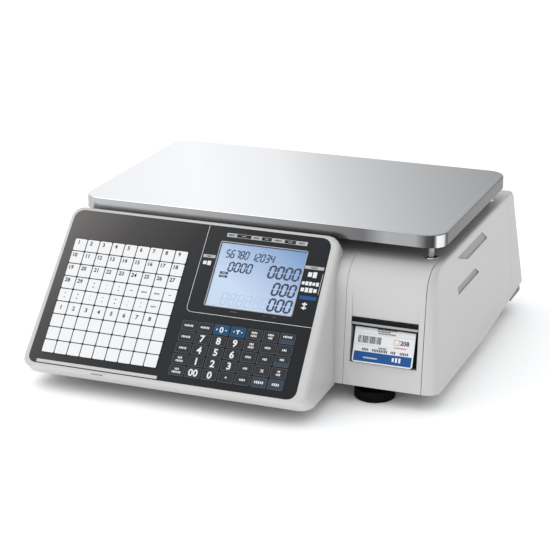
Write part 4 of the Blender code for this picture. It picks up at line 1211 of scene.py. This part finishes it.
def base_lip():
    """The ribbed strip on the base's rear rim, rising towards the leaning rear wall."""
    low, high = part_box("base_housing")
    # The lip is in the base's dark grey, painted shade.
    form = Form("base_lip", BASE_PAINTED_SHADE, place=flat)
    left, right = low.x + 7 * MM, high.x - 14 * MM
    level, upright = low.z + 10.2 * MM, high.y + 2.0 * MM
    rear = upright + 1.6 * MM
    cap(form, (left, right, high.y - 1.8 * MM, rear), 0.7 * MM, level, level + 1.2 * MM, 0.3 * MM)
    cap(form, (left, right, upright, rear), 0.7 * MM, level + 0.4 * MM, level + 12 * MM, 0.3 * MM)
    for k in range(12):
        x = left + (13 + 30 * k) * MM
        rib = (x, x + 1.6 * MM, high.y - MM, upright + 0.4 * MM)
        cap(form, rib, 0.3 * MM, level + MM, level + 6 * MM, 0.2 * MM)
    form.make("chassis")


def board_parts():
    """Chips with legs, capacitors and small ceramic parts on the main board."""
    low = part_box("main_board")[0]
    top = deck_height("main_board")
    form = Form("board_parts", LOOKS["black_plastic"], LOOKS["bright_steel"], LOOKS["ceramic"], place=flat)
    can = ((0.4, 0), (2.6, 0), (2.7, 4), (2.3, 4.6), (0.4, 4.5))
    for k in range(4):
        x, y = low.x + (62 + 34 * k) * MM, low.y + 30 * MM
        cap(form, (x, x + 14 * MM, y, y + 10 * MM), 0.5 * MM, top, top + 1.8 * MM, 0.3 * MM, 0)
        for leg in range(8):
            a = x + (1.0 + 1.7 * leg) * MM
            cap(
                form, (a, a + 0.6 * MM, y - 1.2 * MM, y + 11.2 * MM),
                0.1 * MM, top, top + 0.5 * MM, 0.05 * MM, 1
            )
    for k in range(9):
        x, y = low.x + (40 + 15 * k) * MM, low.y + 50 * MM
        ring_of(form, x, y, can, top, k % 2, 20)
        cap(form, (x + 5 * MM, x + 8 * MM, y, y + 1.6 * MM), 0.2 * MM, top, top + 0.8 * MM, 0.1 * MM, 2)
    form.make("chassis")


def frame_fasteners():
    """Screws on the printer's inner plate, seen with the side door open."""
    low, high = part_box("printer_frame")
    base = deck_height("printer_frame")

    def on_plate(x, y, height):
        return Vector((x, y, base + height))

    form = Form("frame_fasteners", LOOKS["bright_steel"], RECESS_PAINTED_SHADE, place=on_plate)
    for y in (low.y + 14 * MM, (low.y + high.y) / 2, high.y - 14 * MM):
        for x in (low.x + 8 * MM, high.x - 12 * MM):
            screw(form, x, y, 2.2 * MM)
    form.make("chassis")


# Floor, light and camera


def floor_material():
    material = surface("floor", (0.93, 0.93, 0.935), 0.6, grain=60.0, bump=0.0, mottle=0.004)
    shader = material.node_tree.nodes["Principled BSDF"]
    shader.inputs["Specular IOR Level"].default_value = 0.2
    shader.inputs["Emission Color"].default_value = (1.0, 1.0, 1.0, 1.0)
    nodes, links = tree_of(material)
    # The floor's white glow fades near and under the scale: a painted shadow.
    painted_shadow_mask = nodes.new("ShaderNodeAmbientOcclusion")
    painted_shadow_mask.samples = 8
    painted_shadow_mask.inputs["Distance"].default_value = 75 * MM
    glow_with_painted_shadow = spread(nodes, links, painted_shadow_mask.outputs["AO"], 0.0, 0.35, 0.02, 0.66)
    links.new(glow_with_painted_shadow, shader.inputs["Emission Strength"])
    return material


def stage_floor():
    mesh = bpy.data.meshes.new("floor")
    size = 45.0
    mesh.from_pydata(
        [(-size, -size, 0), (size, -size, 0), (size, size, 0), (-size, size, 0)], [], [(0, 1, 2, 3)]
    )
    mesh.materials.append(floor_material())
    obj = add_object("floor", mesh)


def area_light(name, place, target, size, power):
    data = bpy.data.lights.new(name, "AREA")
    data.shape = "RECTANGLE"
    data.size, data.size_y = size
    data.energy = power
    obj = add_object(name, data)
    obj.location = place
    obj.rotation_euler = (Vector(target) - Vector(place)).to_track_quat("-Z", "Y").to_euler()


def studio_world():
    """A pale dome, brightest on the left and dimmer on the right."""
    world = bpy.data.worlds.new("studio")
    world.use_nodes = True
    nodes, links = tree_of(world)
    source = nodes.new("ShaderNodeTexCoord")
    parts = nodes.new("ShaderNodeSeparateXYZ")
    links.new(source.outputs["Generated"], parts.inputs["Vector"])
    stops = ((-1.0, 0.74), (-0.62, 0.96), (-0.42, 1.04), (0.0, 0.83), (0.7, 0.50), (1.0, 0.46))
    tints = [(place, (0.97 * level, 0.985 * level, level)) for place, level in stops]
    colour = ramp_through(nodes, links, parts.outputs["X"], tints)
    links.new(colour, nodes["Background"].inputs["Color"])
    bpy.context.scene.world = world


def camera():
    """The photo's camera, placed from the middle of the platter's top."""
    low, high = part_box("platter")
    centre = Vector(((low.x + high.x) / 2, (low.y + high.y) / 2, high.z))
    data = bpy.data.cameras.new("camera")
    data.lens = 123.1
    data.sensor_width = 36.0
    data.clip_end = 50.0
    obj = add_object("camera", data)
    obj.location = centre + Vector((0.658, -1.762, 0.544))
    obj.rotation_euler = (math.radians(71.08), 0.0, math.radians(21.24))
    bpy.context.scene.camera = obj


dress_nodes()
moving_keys()
printed_keys()
key_bed()
preset_keys()
overlay_print()
sheet_slot()
lcd_screen()
lcd_digits()
lcd_frame()
rear_display()
label()
slot_liner()
tear_edge()
for foot_name in FEET:
    foot_detail(foot_name)
post_bushings()
rear_fittings()
base_lip()
board_parts()
frame_fasteners()
stage_floor()
studio_world()
area_light("key", (-1.5, -1.1, 1.7), (0.0, 0.0, 0.1), (2.6, 2.2), 9.5)
area_light("fill", (1.1, -1.9, 1.1), (0.1, 0.0, 0.08), (2.6, 2.0), 4.5)
bpy.context.scene.view_settings.view_transform = "Standard"
camera()
